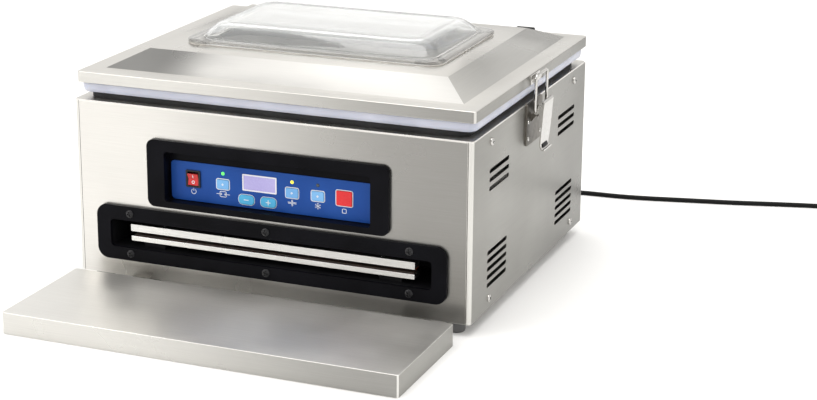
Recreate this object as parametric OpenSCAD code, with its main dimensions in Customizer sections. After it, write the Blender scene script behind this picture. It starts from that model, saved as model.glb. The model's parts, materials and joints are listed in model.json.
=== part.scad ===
// Table-top vacuum sealer: steel housing with a lidded vacuum chamber, a front
// sealing slot, a control panel, a side draw latch and a sliding bag shelf.
// X runs to the right, Y to the back and Z up. Z = 0 is the surface it stands on.

/* [Housing] */
// Width of the housing
body_w = 430; // [420:1:500]
// Depth of the housing
body_d = 361; // [350:1:430]
// Height of the housing above its feet
body_h = 183; // [180:1:215]
// Thickness of the sheet steel
sheet_t = 1.5; // [1.2:0.1:2]
// Height of the rubber feet
foot_h = 13; // [12:1:18]
// Outer radius of the bends at the front corners
bend_r = 4.5; // [3.5:0.5:6]

/* [Chamber] */
// How far the raised chamber rim stands in from the housing's faces
rim_inset = 11; // [9:1:14]
// Height of the raised chamber rim
rim_h = 7; // [6:0.5:8]
// Width of the chamber rim
rim_w = 24; // [20:1:30]
// Depth of the chamber below the rim
chamber_depth = 102; // [80:1:105]

/* [Lid] */
// Gap between the deck and the bottom edge of the lid
lid_gap = 15.8; // [15:0.1:17]
// Height of the lid's straight edge
lid_edge_h = 11.7; // [10:0.1:14]
// Height of the sloping part of the lid
lid_slope_h = 15.1; // [12:0.1:20]
// Thickness of the lid's steel
lid_t = 2; // [1.5:0.1:2.5]
// Width of the gasket's section
gasket_w = 14; // [12:1:16]
// Height of the clear dome above its flange
dome_h = 15.2; // [12:0.1:20]

/* [Control panel] */
// Width of the panel's bezel
panel_w = 263; // [255:1:275]
// Height of the panel's bezel
panel_h = 70.4; // [68:0.1:74]
// How far both bezels stand out of the front
bezel_out = 4; // [3:0.5:5]
// Travel of the buttons
button_travel = 0.8; // [0.5:0.1:0.8]

/* [Sealing slot] */
// Width of the slot's bezel
slot_w = 383; // [375:1:390]
// Length of the seal bars
bar_l = 312; // [290:1:330]
// Travel of the upper seal bar
bar_travel = 4; // [3:0.1:4]

/* [Tray] */
// Width of the tray
tray_w = 414; // [390:1:414]
// Depth of the tray
tray_d = 142; // [120:1:170]
// Height of the tray
tray_h = 22.4; // [20:0.1:24]
// Gap between the tray and the front of the housing
tray_gap = 24; // [24:1:40]

/* [Mains lead] */
// Diameter of the mains lead
cord_dia = 5.2; // [5:0.1:6]

/* [Hidden] */
$fn = 64;

steel = "gainsboro";
black = "#202022";
cut = 1;                     // how far a cutting solid runs past the face it cuts
half_w = body_w / 2;
inner_w = half_w - sheet_t;  // inside face of the side panels
top_z = foot_h + body_h;     // top of the deck
rim_z = top_z + rim_h;       // top of the chamber rim

// Rear hinge, measured from the front of the housing
hinge_y = body_d + 11;
hinge_z = top_z + 23.5;
hinge_r = 6;
hinge_x = 142;
hinge_pin_r = 2.5;
run_gap = 0.05;              // radial running clearance of a pin

// The origin is under the middle of the whole footprint, from the tray to the hinges
tray_front_y = -tray_gap - tray_d;
front_y = -(tray_front_y + hinge_y + hinge_r) / 2;
side_screw_h = 2.2;          // height of the heads on the side panels
lever_out = 17.2;            // how far the latch's lever stands out of the right side
side_x = -(lever_out - side_screw_h) / 2;

// Lid
lid_z = top_z + lid_gap;
ledge_z = lid_z + lid_edge_h;
plateau_z = ledge_z + lid_slope_h;
lid_y0 = 5.8;
gasket_inset = 1.8;          // how far the gasket stands in from the lid's edge
lid_y1 = body_d + 2.8;
slope_out = [-half_w + 21, lid_y0 + 24.3, half_w - 21, lid_y1 - 15.8];
slope_in = [-half_w + 51.6, lid_y0 + 62.8, half_w - 51.6, lid_y1 - 54.1];
window_y = (slope_in[1] + slope_in[3]) / 2;
window_w = slope_in[2] - slope_in[0] - 41;
window_d = slope_in[3] - slope_in[1] - 62;
seal_t = 1.2;
flange_t = 3;
dome_t = 3;

// Sealing slot
slot_z = foot_h + 47;
slot_h = 58;
slot_open_w = slot_w - 31;
slot_open_h = slot_h - 28.8;
slot_open_z = foot_h + 46.3;
liner_t = 2;
liner_d = 60;
screw_x = 153;
screw_up = 21.4;
bar_y = 3;
bar_d = 14;
lower_bar_z = foot_h + 37.4;
lower_bar_h = 5.6;
bar_shut_gap = 1;            // left for the bag when the bars are shut
upper_bar_z = lower_bar_z + lower_bar_h + bar_shut_gap + bar_travel;
upper_bar_h = 7.2;
groove_t = 0.4;
actuator_x = 120;
actuator_r = 8;
rod_r = 2;
liner_top = slot_open_z + slot_open_h / 2 + liner_t;

// Control panel
panel_gap = 4.1;             // steel left between the two bezels
panel_z = slot_z + slot_h / 2 + panel_gap + panel_h / 2;
panel_open_z = panel_z - 2.6;
panel_open_w = panel_w - 39;
panel_open_h = panel_h - 18.4;
collar_t = 2;
backplate_y = 9;
backplate_t = 2;
membrane_t = 1;
membrane_y = backplate_y - membrane_t;
membrane_h = 40.6;
membrane_z = panel_open_z - panel_open_h / 2 + 0.5 + membrane_h / 2;
button_y = membrane_y - button_travel - 0.2;
button_gap = 0.25;
led_r = 1.9;

// Place of each control on the panel: x, height above the membrane's middle, width, height
vacuum_key = [-52, 1, 13.2, 9.8];
seal_key = [24, 1, 13.2, 9.8];
cool_key = [51.8, 1, 13.2, 9.8];
minus_key = [-26, -12, 16.8, 9.8];
plus_key = [-1.8, -12, 16.8, 9.8];
stop_key = [80, 2, 16.6, 15];
display = [-11.5, 6, 37.6, 17.2];
rocker = [-85, 3.2, 16.2, 17.8];
led_up = 12.1;
display_border = 1.4;

// Rocker switch
rocker_pivot_y = 10.5;
rocker_tilt = 8;
rocker_half = 5.7;
switch_half_w = 7.3;
switch_half_h = 8.5;
axle_r = 1;

// Draw latch on the right side
latch_y = 180;
lever_x = half_w + 11;
lever_z = top_z - 5.5;
bail_x = lever_x - 3.5;
bail_z = lever_z - 4.5;
bail_top = [half_w + 7.9, ledge_z + 0.5];
bail_half = 18;
wire_r = 1.5;
latch_pin_r = 1.5;

// Tray rails
rail_x = 150;
rail_w = 20;
rail_t = 4;
rail_z = 5;
rail_gap = 0.3;

// Mains lead: gland, route over the table, coil and plug
gland_x = 120.5;
gland_z = 45;
gland_out = 22;
cord_r = cord_dia / 2;
coil_at = [498, 486];
coil_r = 33;
coil_w = 16;
coil_h = 3 * cord_dia + 1;
plug_at = [coil_at[0] + coil_r, coil_at[1] + 24, coil_h / 2];
route = [
    [113, 277, 45], [113, 292, 44], [114, 310, 38], [117, 330, 25], [122, 349, 12],
    [130, 366, 5], [141, 380, 3], [156, 389, 2.6], [176, 393, 2.6], [205, 393, 2.6],
    [235, 397, 2.6], [258, 402, 2.6], [283, 408, 2.6], [305, 413, 2.6], [328, 418, 2.6],
    [359, 426, 2.6], [393, 436, 2.6], [423, 444, 2.6], [451, 450, 2.6], [475, 453, 2.6]
];

// A rectangle w by h with corners of radius r, around the origin
module rounded(w, h, r) {
    square([w - 2 * r, h], center = true);
    square([w, h - 2 * r], center = true);
    for (x = [-1, 1], y = [-1, 1])
        translate([x * (w / 2 - r), y * (h / 2 - r)])
            circle(r);
}

// The housing's own frame: X is counted from its middle and Y from its front panel
module placed() {
    translate([side_x, front_y, 0]) children();
}

// Extrudes an outline drawn in X and Z backwards from y by t
module from_front(y, t) {
    translate([0, y + t, 0])
        rotate([90, 0, 0])
            linear_extrude(t) children();
}

// Extrudes an outline drawn in Y and Z to the right from x by t
module from_side(x, t) {
    translate([x, 0, 0])
        rotate([90, 0, 90])
            linear_extrude(t) children();
}

module mirrored() {
    children();
    mirror([1, 0, 0]) children();
}

// A round bar along X, from x by l
module bar_x(x, y, z, r, l) {
    translate([x, y, z]) rotate([0, 90, 0]) cylinder(r = r, h = l);
}

// A round bar along Y, from y by l
module bar_y(x, y, z, r, l) {
    translate([x, y, z]) rotate([-90, 0, 0]) cylinder(r = r, h = l);
}

// A rounded block drawn in plan between y0 and y1, from z by h
module plan_block(w, y0, y1, r, z, h) {
    translate([0, (y0 + y1) / 2, z])
        linear_extrude(h) rounded(w, y1 - y0, r);
}

// ---------- housing ----------

module base_pan() {
    flange_h = 14;
    color("silver") placed() difference() {
        union() {
            translate([-inner_w, sheet_t, foot_h])
                cube([2 * inner_w, body_d - 2 * sheet_t, sheet_t]);
            mirrored()
                translate([inner_w - sheet_t, 20, foot_h + sheet_t])
                    cube([sheet_t, body_d - 40, flange_h]);
        }
        side_screw_holes();
    }
}

side_screw_y = [52, 320];
side_screw_z = [foot_h + 11, top_z - 12.5];

module side_screw_holes() {
    for (y = side_screw_y, z = side_screw_z)
        bar_x(-half_w - cut, y, z, 1.7, body_w + 2 * cut);
}

module front_panel() {
    color(steel) placed() from_front(0, sheet_t) difference() {
        translate([-half_w + bend_r + 0.6, foot_h])
            square([body_w - 2 * bend_r - 1.2, body_h - sheet_t]);
        translate([0, panel_open_z])
            square([panel_open_w + 2 * collar_t, panel_open_h + 2 * collar_t], center = true);
        translate([0, slot_open_z])
            square([slot_open_w + 2 * liner_t, slot_open_h + 2 * liner_t], center = true);
        bezel_screw_places() circle(1.7);
    }
}

// One side panel: a sheet with a bend around the front corner and four groups of vent slots
module side_panel() {
    slot_l = 58;
    slot_r = 2.25;
    difference() {
        translate([0, 0, foot_h]) linear_extrude(body_h - sheet_t) {
            translate([inner_w, bend_r]) square([sheet_t, body_d - bend_r]);
            translate([half_w - bend_r, bend_r]) intersection() {
                difference() {
                    circle(bend_r);
                    circle(bend_r - sheet_t);
                }
                translate([0, -bend_r]) square(bend_r);
            }
        }
        from_side(inner_w - cut, sheet_t + 2 * cut)
            for (g = [[48, 123.4, 3, 8.9], [266, 123.4, 3, 8.9], [46, 25, 5, 8.35], [264, 25, 5, 8.35]])
                for (i = [0 : g[2] - 1])
                    translate([g[0] + slot_l / 2, foot_h + g[1] + i * g[3]])
                        rounded(slot_l, 2 * slot_r, slot_r - 0.01);
        side_screw_holes();
    }
}

module side_panel_left() {
    color(steel) placed() mirror([1, 0, 0]) side_panel();
}

module side_panel_right() {
    color(steel) placed() side_panel();
}

module rear_panel() {
    color("silver") placed() from_front(body_d - sheet_t, sheet_t) difference() {
        translate([-inner_w, foot_h]) square([2 * inner_w, body_h - sheet_t]);
        translate([gland_x, gland_z]) circle(8);
        for (i = [0 : 4])
            translate([-90, foot_h + 70 + i * 9]) rounded(110, 4.4, 2.1);
    }
}

module top_deck() {
    flange_y0 = 30;
    color(steel) placed() difference() {
        union() {
            plan_block(body_w, 0, body_d, bend_r, top_z - sheet_t, sheet_t);
            mirrored()
                translate([inner_w - sheet_t, flange_y0, top_z - 20])
                    cube([sheet_t, body_d - 2 * flange_y0, 20 - sheet_t]);
        }
        plan_block(chamber_w + 4, chamber_y0 - 2, chamber_y1 + 2, 26, top_z - 2 * sheet_t, 4 * sheet_t);
        side_screw_holes();
    }
}

rim_y0 = rim_inset + 2;
rim_y1 = body_d - rim_inset;
chamber_w = body_w - 2 * rim_inset - 2 * rim_w;
chamber_y0 = rim_y0 + rim_w;
chamber_y1 = rim_y1 - rim_w;
chamber_floor = rim_z - chamber_depth;

module chamber_tub() {
    port_r = 5;
    color("silver") placed() difference() {
        union() {
            plan_block(body_w - 2 * rim_inset, rim_y0, rim_y1, 12, top_z, rim_h);
            plan_block(chamber_w + 2 * sheet_t, chamber_y0 - sheet_t, chamber_y1 + sheet_t, 24 + sheet_t,
                       chamber_floor - sheet_t, rim_z - chamber_floor);
        }
        plan_block(chamber_w, chamber_y0, chamber_y1, 24, chamber_floor, chamber_depth + cut);
        difference() {
            plan_block(body_w - 2 * rim_inset - 2 * sheet_t, rim_y0 + sheet_t, rim_y1 - sheet_t, 10.5,
                       top_z - cut, rim_h + cut - sheet_t);
            plan_block(chamber_w + 2 * sheet_t, chamber_y0 - sheet_t, chamber_y1 + sheet_t,
                       24 + sheet_t, top_z - 2 * cut, rim_h + 2 * cut);
        }
        translate([hose_x, hose_y, chamber_floor - sheet_t - cut])
            cylinder(r = port_r, h = sheet_t + 2 * cut);
    }
}

module feet() {
    foot_x = 195;
    color("dimgray") placed() mirrored()
        for (y = [16, body_d - 16])
            translate([foot_x, y, 0]) {
                cylinder(r = 10, h = foot_h - 3);
                translate([0, 0, foot_h - 3]) cylinder(r = 9, h = 3);
            }
}

module side_screws() {
    color("silver") placed() mirrored()
        for (y = side_screw_y, z = side_screw_z)
            difference() {
                union() {
                    bar_x(half_w, y, z, 4, side_screw_h);
                    bar_x(half_w - 9, y, z, 1.65, 9);
                }
                for (a = [0, 90])
                    translate([half_w + side_screw_h, y, z]) rotate([a, 0, 0]) cube([2.4, 0.9, 4.4], center = true);
            }
}

// ---------- control panel ----------

module panel_bezel() {
    color(black) placed() {
        from_front(-bezel_out, bezel_out) difference() {
            translate([0, panel_z]) rounded(panel_w, panel_h, 8);
            translate([0, panel_open_z]) rounded(panel_open_w, panel_open_h, 3);
        }
        from_front(0, backplate_y) difference() {
            translate([0, panel_open_z])
                square([panel_open_w + 2 * collar_t, panel_open_h + 2 * collar_t], center = true);
            translate([0, panel_open_z]) rounded(panel_open_w, panel_open_h, 3);
        }
    }
}

// Outline of a key, grown by grow on every side
module key_outline(key, grow, soft = false) {
    w = key[2] + 2 * grow;
    h = key[3] + 2 * grow;
    translate([key[0], membrane_z + key[1]])
        rounded(w, h, soft ? 4 : 1.2);
}

// The holes that the controls pass through
module control_holes() {
    for (key = [vacuum_key, seal_key, cool_key, stop_key])
        key_outline(key, button_gap);
    for (key = [minus_key, plus_key])
        key_outline(key, button_gap, soft = true);
    for (key = [vacuum_key, seal_key, cool_key])
        translate([key[0], membrane_z + led_up]) circle(led_r);
    translate([display[0], membrane_z + display[1]])
        square([display[2] - 2 * display_border, display[3] - 2 * display_border], center = true);
    translate([rocker[0], membrane_z + rocker[1]])
        square([2 * switch_half_w, 2 * switch_half_h], center = true);
}

module panel_backplate() {
    color(black) placed() from_front(backplate_y, backplate_t) difference() {
        translate([0, panel_open_z])
            square([panel_open_w + 2 * collar_t, panel_open_h + 2 * collar_t], center = true);
        control_holes();
    }
}

module membrane_panel() {
    color("#1d4f9c") placed() from_front(membrane_y, membrane_t) difference() {
        translate([0, membrane_z]) rounded(panel_open_w - 4, membrane_h, 4);
        control_holes();
    }
}

module display_frame() {
    color("white") placed() from_front(membrane_y - 0.5, 0.5)
        translate([display[0], membrane_z + display[1]]) difference() {
            rounded(display[2], display[3], 1);
            square([display[2] - 2 * display_border, display[3] - 2 * display_border], center = true);
        }
}

module display_window() {
    color("#c9c8ea") placed() from_front(membrane_y - 0.2, 5)
        translate([display[0], membrane_z + display[1]])
            square([display[2] - 2 * display_border, display[3] - 2 * display_border], center = true);
}

module led(key) {
    placed() {
        bar_y(key[0], membrane_y - 0.4, membrane_z + led_up, led_r, 5);
    }
}

module led_vacuum() {
    color("limegreen") led(vacuum_key);
}

module led_seal() {
    color("gold") led(seal_key);
}

module led_cool() {
    color("#203050") led(cool_key);
}

module switch_frame() {
    x = rocker[0];
    z = membrane_z + rocker[1];
    hole = [12, 14.8];
    color(black) placed() difference() {
        union() {
            from_front(membrane_y - 1.4, 1.4) translate([x, z]) rounded(rocker[2], rocker[3], 1.2);
            from_front(membrane_y, 15)
                translate([x, z]) square([2 * switch_half_w, 2 * switch_half_h], center = true);
        }
        from_front(membrane_y - 2, 12) translate([x, z]) square(hole, center = true);
        bar_x(x - 6.9, rocker_pivot_y, z, axle_r + run_gap, 13.8);
    }
}

module power_rocker() {
    x = rocker[0];
    z = membrane_z + rocker[1];
    color("#d01c1c") placed() {
        translate([x - rocker_half, rocker_pivot_y, z]) rotate([rocker_tilt, 0, 0])
            rotate([90, 0, 90]) linear_extrude(2 * rocker_half)
                polygon([[-4.6, 6.2], [-3, 0], [-4.6, -6.2], [1.5, -4.6], [1.5, 4.6]]);
        bar_x(x - 6.8, rocker_pivot_y, z, axle_r, 13.6);
    }
}

// A key with a cap that shows and a flange behind the backplate that holds it in
module key(shape, soft = false) {
    flange_y = backplate_y + backplate_t + 0.2;
    placed() {
        from_front(button_y, flange_y - button_y) key_outline(shape, 0, soft);
        from_front(flange_y, 1) key_outline(shape, 1, soft);
    }
}

module button_vacuum() {
    color("#8fb8ea") key(vacuum_key);
}

module button_minus() {
    color("#8fb8ea") key(minus_key, soft = true);
}

module button_plus() {
    color("#8fb8ea") key(plus_key, soft = true);
}

module button_seal() {
    color("#8fb8ea") key(seal_key);
}

module button_cool() {
    color("#8fb8ea") key(cool_key);
}

module button_stop() {
    color("#e02a30") key(stop_key);
}

module control_board() {
    board_y = backplate_y + backplate_t + 5.2;
    color("darkgreen") placed() difference() {
        union() {
            from_front(board_y, 1.6)
                translate([0, panel_open_z]) square([panel_open_w - 4, panel_open_h], center = true);
            for (k = [vacuum_key, seal_key, cool_key, minus_key, plus_key, stop_key])
                bar_y(k[0], board_y - 3, membrane_z + k[1], 2.5, 3);
            for (k = [-60, 20, 70])
                translate([k, board_y + 1.6, panel_open_z - 12]) cube([16, 5, 10]);
        }
        translate([rocker[0], board_y, membrane_z + rocker[1]]) cube([17, 40, 20], center = true);
    }
}

// ---------- sealing slot ----------

module bezel_screw_places() {
    for (x = [-screw_x, 0, screw_x], up = [-1, 1])
        translate([x, slot_z + up * screw_up]) children();
}

module slot_bezel() {
    color(black) placed() from_front(-bezel_out, bezel_out) difference() {
        translate([0, slot_z]) rounded(slot_w, slot_h, 12);
        translate([0, slot_open_z]) rounded(slot_open_w, slot_open_h, 4);
        bezel_screw_places() circle(1.7);
    }
}

module bezel_screws() {
    head_h = 1.6;
    color("#303034") placed() {
        from_front(-bezel_out - head_h, head_h)
            bezel_screw_places() difference() {
                circle(4.3);
                square([4.6, 0.9], center = true);
                square([0.9, 4.6], center = true);
            }
        from_front(-bezel_out, 8) bezel_screw_places() circle(1.65);
    }
}

module slot_liner() {
    color("#2a2a2c") placed() difference() {
        from_front(0, liner_d) translate([0, slot_open_z])
            square([slot_open_w + 2 * liner_t, slot_open_h + 2 * liner_t], center = true);
        from_front(-cut, liner_d - liner_t + cut)
            translate([0, slot_open_z]) square([slot_open_w, slot_open_h], center = true);
        mirrored()
            translate([actuator_x, bar_y + bar_d / 2, liner_top - liner_t - cut])
                cylinder(r = rod_r + 0.3, h = liner_t + 2 * cut);
    }
}

module lower_seal_bar() {
    leg_w = 24;
    leg_h = lower_bar_z - (slot_open_z - slot_open_h / 2);
    color("lightgray") placed() {
        translate([-bar_l / 2, bar_y, lower_bar_z]) cube([bar_l, bar_d, lower_bar_h]);
        mirrored()
            translate([118, bar_y + 2, lower_bar_z - leg_h]) cube([leg_w, bar_d - 4, leg_h]);
    }
}

module heating_strip() {
    color("#b08a5a") placed()
        translate([-bar_l / 2 + 2, bar_y + 4, lower_bar_z + lower_bar_h])
            cube([bar_l - 4, bar_d - 8, groove_t]);
}

module upper_seal_bar() {
    rod_h = liner_top + 4 - upper_bar_z;
    color("lightgray") placed() {
        difference() {
            translate([-bar_l / 2, bar_y, upper_bar_z]) cube([bar_l, bar_d, upper_bar_h]);
            translate([-bar_l / 2 - cut, bar_y + 3, upper_bar_z - cut])
                cube([bar_l + 2 * cut, bar_d - 6, cut + groove_t]);
        }
        mirrored()
            translate([actuator_x, bar_y + bar_d / 2, upper_bar_z + 1])
                cylinder(r = rod_r, h = rod_h);
    }
}

module silicone_strip() {
    color("#c8552a") placed()
        translate([-bar_l / 2, bar_y + 3, upper_bar_z - groove_t])
            cube([bar_l, bar_d - 6, 2 * groove_t]);
}

module jaw_actuators() {
    color("gray") placed() mirrored()
        translate([actuator_x, bar_y + bar_d / 2, liner_top]) difference() {
            cylinder(r = actuator_r, h = 20);
            translate([0, 0, -cut]) cylinder(r = rod_r + run_gap, h = 9 + cut);
        }
}

// ---------- lid ----------

// A flat-topped hip roof from the rectangle low at z0 to the rectangle high at z1
module hip(low, high, z0, z1) {
    polyhedron(
        points = [
            [low[0], low[1], z0], [low[2], low[1], z0], [low[2], low[3], z0], [low[0], low[3], z0],
            [high[0], high[1], z1], [high[2], high[1], z1], [high[2], high[3], z1], [high[0], high[3], z1]
        ],
        faces = [
            [0, 1, 2, 3], [7, 6, 5, 4], [0, 4, 5, 1], [1, 5, 6, 2], [2, 6, 7, 3], [3, 7, 4, 0]
        ]
    );
}

function shrunk(box, by) = [box[0] + by, box[1] + by, box[2] - by, box[3] - by];

module lid_shell() {
    color(steel) placed() difference() {
        union() {
            plan_block(body_w, lid_y0, lid_y1, 4, lid_z, lid_edge_h);
            hip(slope_out, slope_in, ledge_z - 0.01, plateau_z);
        }
        plan_block(body_w - 2 * lid_t, lid_y0 + lid_t, lid_y1 - lid_t, 2, lid_z - cut, lid_edge_h + cut - lid_t);
        hip(shrunk(slope_out, 2), shrunk(slope_in, 2), ledge_z - lid_t - 0.01, plateau_z - lid_t);
        translate([0, window_y, plateau_z - 2 * lid_t])
            linear_extrude(3 * lid_t) rounded(window_w - 30, window_d - 22, 18);
    }
}

module lid_liner() {
    color("silver") placed() difference() {
        plan_block(body_w - 2 * lid_t, lid_y0 + lid_t, lid_y1 - lid_t, 2, lid_z, lid_t);
        plan_block(body_w - 70, lid_y0 + 36, lid_y1 - 32, 12, lid_z - cut, lid_t + 2 * cut);
    }
}

module lid_gasket() {
    w = body_w - 2 * gasket_inset;
    y0 = lid_y0 + gasket_inset;
    y1 = lid_y1 - 5;
    color("#c3d3e4") placed() difference() {
        plan_block(w, y0, y1, 10, rim_z + 0.3, lid_z - rim_z - 0.3);
        plan_block(w - 2 * gasket_w, y0 + gasket_w, y1 - gasket_w, 4, rim_z - cut, lid_gap);
    }
}

module window_seal() {
    color("#303236") placed() translate([0, window_y, plateau_z]) linear_extrude(seal_t) difference() {
        rounded(window_w - 3, window_d - 3, 17);
        rounded(window_w - 30, window_d - 22, 18);
    }
}

// The dome's outline in plan at height z, shrunk by inset
module dome_slice(inset, r, z) {
    translate([0, 0, z])
        linear_extrude(0.01) rounded(window_w - 22 - 2 * inset, window_d - 16 - 2 * inset, r);
}

// A solid dome: full at its foot, rounded over into a flat top
module dome_body(inset, z0, z1) {
    hull($fn = 32) {
        dome_slice(inset, 24 - inset, z0);
        dome_slice(inset + 10, 22 - inset, z1 - 5);
        dome_slice(inset + 13.5, 20 - inset, z1 - 1.6);
        dome_slice(inset + 18, 17 - inset, z1);
    }
}

module lid_window() {
    z0 = plateau_z + seal_t;
    color([0.85, 0.92, 0.97, 0.4]) placed() translate([0, window_y, 0]) difference() {
        union() {
            translate([0, 0, z0]) linear_extrude(flange_t) rounded(window_w, window_d, 18);
            dome_body(0, z0 + flange_t - 0.1, z0 + flange_t + dome_h);
        }
        dome_body(dome_t, z0 - cut, z0 + flange_t + dome_h - dome_t);
    }
}

// ---------- rear hinges ----------

module hinge_brackets() {
    ear_x = 7.5;
    ear_t = 4;
    color("#303034") placed() mirrored() difference() {
        union() {
            from_side(hinge_x - 20, 40) translate([body_d, top_z - 46]) square([3, 45]);
            for (s = [-1, 1])
                hull($fn = 32) {
                    bar_x(hinge_x + s * ear_x - ear_t / 2, hinge_y, hinge_z, hinge_r, ear_t);
                    translate([hinge_x + s * ear_x - ear_t / 2, body_d + 3, top_z - 36])
                        cube([ear_t, 11, 34]);
                }
        }
        bar_x(hinge_x - 14, hinge_y, hinge_z, hinge_pin_r, 28);
    }
}

module hinge_arms() {
    arm_w = 10;
    color("#303034") placed() mirrored() difference() {
        union() {
            bar_x(hinge_x - arm_w / 2, hinge_y, hinge_z, hinge_r, arm_w);
            translate([hinge_x - arm_w / 2, lid_y1, lid_z + 1]) cube([arm_w, hinge_y - lid_y1, 9]);
        }
        bar_x(hinge_x - arm_w, hinge_y, hinge_z, hinge_pin_r + run_gap, 2 * arm_w);
    }
}

module hinge_pins() {
    color("silver") placed() mirrored() bar_x(hinge_x - 11, hinge_y, hinge_z, hinge_pin_r, 22);
}

// ---------- draw latch ----------

module keeper() {
    color("silver") placed() {
        translate([half_w, latch_y - 14, lid_z + 1.2]) cube([1.5, 28, 9.5]);
        translate([half_w + 1.5, latch_y - 11, lid_z + 4.8]) cube([4.5, 22, 1.5]);
        translate([half_w + 4.5, latch_y - 11, lid_z + 6.3]) cube([1.5, 22, 4]);
    }
}

module latch_base() {
    ear_half = 9.5;
    ear_t = 1.5;
    color("silver") placed() difference() {
        union() {
            from_side(half_w, sheet_t) translate([latch_y, top_z - 22.5]) rounded(50, 44, 4);
            for (y = [latch_y - ear_half - ear_t, latch_y + ear_half])
                hull($fn = 32) {
                    bar_y(lever_x, y, lever_z, latch_pin_r + 0.8, ear_t);
                    translate([half_w + 1, y, lever_z - 16]) cube([0.5, ear_t, 7]);
                }
        }
        bar_y(lever_x, latch_y - 20, lever_z, latch_pin_r, 40);
    }
}

module latch_pin() {
    color("silver") placed() {
        bar_y(lever_x, latch_y - 13.4, lever_z, latch_pin_r, 26.8);
        for (y = [latch_y - 14.2, latch_y + 13.3])
            bar_y(lever_x, y, lever_z, 2.4, 0.9);
    }
}

// Two cheeks on the pin and a handle plate hanging from them
module latch_lever() {
    cheek = 11.4;
    cheek_t = 1.5;
    plate_w = 30;
    color("gainsboro") placed() difference() {
        union() {
            for (y = [latch_y - cheek - cheek_t, latch_y + cheek])
                hull($fn = 32) {
                    bar_y(lever_x, y, lever_z, 3.6, cheek_t);
                    bar_y(bail_x, y, bail_z, 3.2, cheek_t);
                    translate([half_w + 13, y, lever_z - 12]) cube([2, cheek_t, 15]);
                }
            translate([0, latch_y + plate_w / 2, 0]) rotate([90, 0, 0]) linear_extrude(plate_w) polygon([
                [half_w + 14.5, lever_z + 7], [half_w + 16.1, lever_z + 7],
                [half_w + 12.8, lever_z - 39], [half_w + lever_out, lever_z - 45.5],
                [half_w + lever_out - 0.9, lever_z - 46.9], [half_w + 10.8, lever_z - 39.4]
            ]);
        }
        bar_y(lever_x, latch_y - 20, lever_z, latch_pin_r + run_gap, 40);
        bar_y(bail_x, latch_y - 20, bail_z, wire_r + run_gap, 40);
        for (y = [latch_y - 14.6, latch_y + 12.9])
            bar_y(lever_x, y, lever_z, 2.8, 1.7);
    }
}

// A wire bail: two arms from the lever up to a cross bar
module latch_bail() {
    rise = [bail_top[0] - bail_x, bail_top[1] - bail_z];
    arm_r = wire_r - 0.1;
    stub = bail_half + wire_r - 11.6;
    color("silver") placed() {
        bar_y(bail_top[0], latch_y - bail_half - wire_r, bail_top[1], wire_r, 2 * (bail_half + wire_r));
        for (s = [-1, 1]) {
            translate([bail_x, latch_y + s * bail_half, bail_z])
                rotate([0, atan2(rise[0], rise[1]), 0])
                    cylinder(r = arm_r, h = norm(rise));
            bar_y(bail_x, latch_y + (s > 0 ? 11.6 : -11.6 - stub), bail_z, wire_r, stub);
        }
    }
}

// ---------- tray ----------

module tray() {
    color(steel) placed() difference() {
        plan_block(tray_w, tray_front_y, -tray_gap, 3, 0, tray_h);
        plan_block(tray_w - 2 * sheet_t, tray_front_y + sheet_t, -tray_gap - sheet_t, 1.5,
                   -cut, tray_h + cut - sheet_t);
        mirrored()
            translate([rail_x - rail_w / 2, -tray_gap - 2 * sheet_t, rail_z])
                cube([rail_w, 3 * sheet_t, rail_t]);
    }
}

module tray_rails() {
    riser = 8;
    color("silver") placed() mirrored() {
        translate([rail_x - rail_w / 2, tray_front_y + 12, rail_z]) cube([rail_w, 300, rail_t]);
        for (y = [tray_front_y + 12, -tray_gap - 24])
            translate([rail_x - rail_w / 2, y, rail_z + rail_t])
                cube([rail_w, riser, tray_h - sheet_t - rail_z - rail_t]);
    }
}

module rail_guides() {
    color("#3a3a3c") placed() mirrored() difference() {
        translate([rail_x - 15, 22, 2.5]) cube([30, 46, foot_h - 2.5]);
        translate([rail_x - rail_w / 2 - rail_gap, 21, rail_z - rail_gap])
            cube([rail_w + 2 * rail_gap, 48, rail_t + 2 * rail_gap]);
    }
}

// ---------- inside the housing ----------

hose_x = -32;
hose_y = 180;
pump_top = foot_h + sheet_t + 62;

module vacuum_pump() {
    floor_z = foot_h + sheet_t;
    color("slategray") placed() {
        for (x = [-150, -30])
            translate([x, 130, floor_z]) cube([16, 100, 8]);
        bar_x(-150, 180, floor_z + 36, 28, 100);
        for (x = [-50, -150])
            translate([x, 160, floor_z + 8]) cube([36, 40, 54]);
    }
}

module transformer() {
    floor_z = foot_h + sheet_t;
    color("#8a6a3a") placed() {
        translate([50, 130, floor_z]) cube([80, 70, 62]);
        translate([40, 150, floor_z]) cube([100, 30, 3]);
    }
}

module vacuum_hose() {
    color("#404044") placed()
        difference() {
            translate([hose_x, hose_y, pump_top]) cylinder(r = 5, h = chamber_floor - pump_top);
            translate([hose_x, hose_y, pump_top - cut])
                cylinder(r = 3, h = chamber_floor - pump_top + 2 * cut);
        }
}

// ---------- mains lead ----------

// A point t of the way from b to c on a smooth line through a, b, c and d
function smooth_point(a, b, c, d, t) =
    0.5 * (2 * b + (c - a) * t + (2 * a - 5 * b + 4 * c - d) * t * t
        + (3 * b - a - 3 * c + d) * t * t * t);

// The smooth line through the route's points, with steps rings to a stretch
function smooth_line(p, steps) = [
    for (i = [0 : len(p) - 2], s = [0 : steps - 1])
        smooth_point(p[max(i - 1, 0)], p[i], p[i + 1], p[min(i + 2, len(p) - 1)], s / steps),
    p[len(p) - 1]
];

function unit(v) = v / norm(v);

// One ring of the tube round point c, square to direction d
function ring(c, d, r, sides) =
    let (side = unit(cross(d, [0, 0, 1])), up = cross(side, d))
    [for (k = [0 : sides - 1]) c + r * (cos(360 * k / sides) * side + sin(360 * k / sides) * up)];

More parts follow.
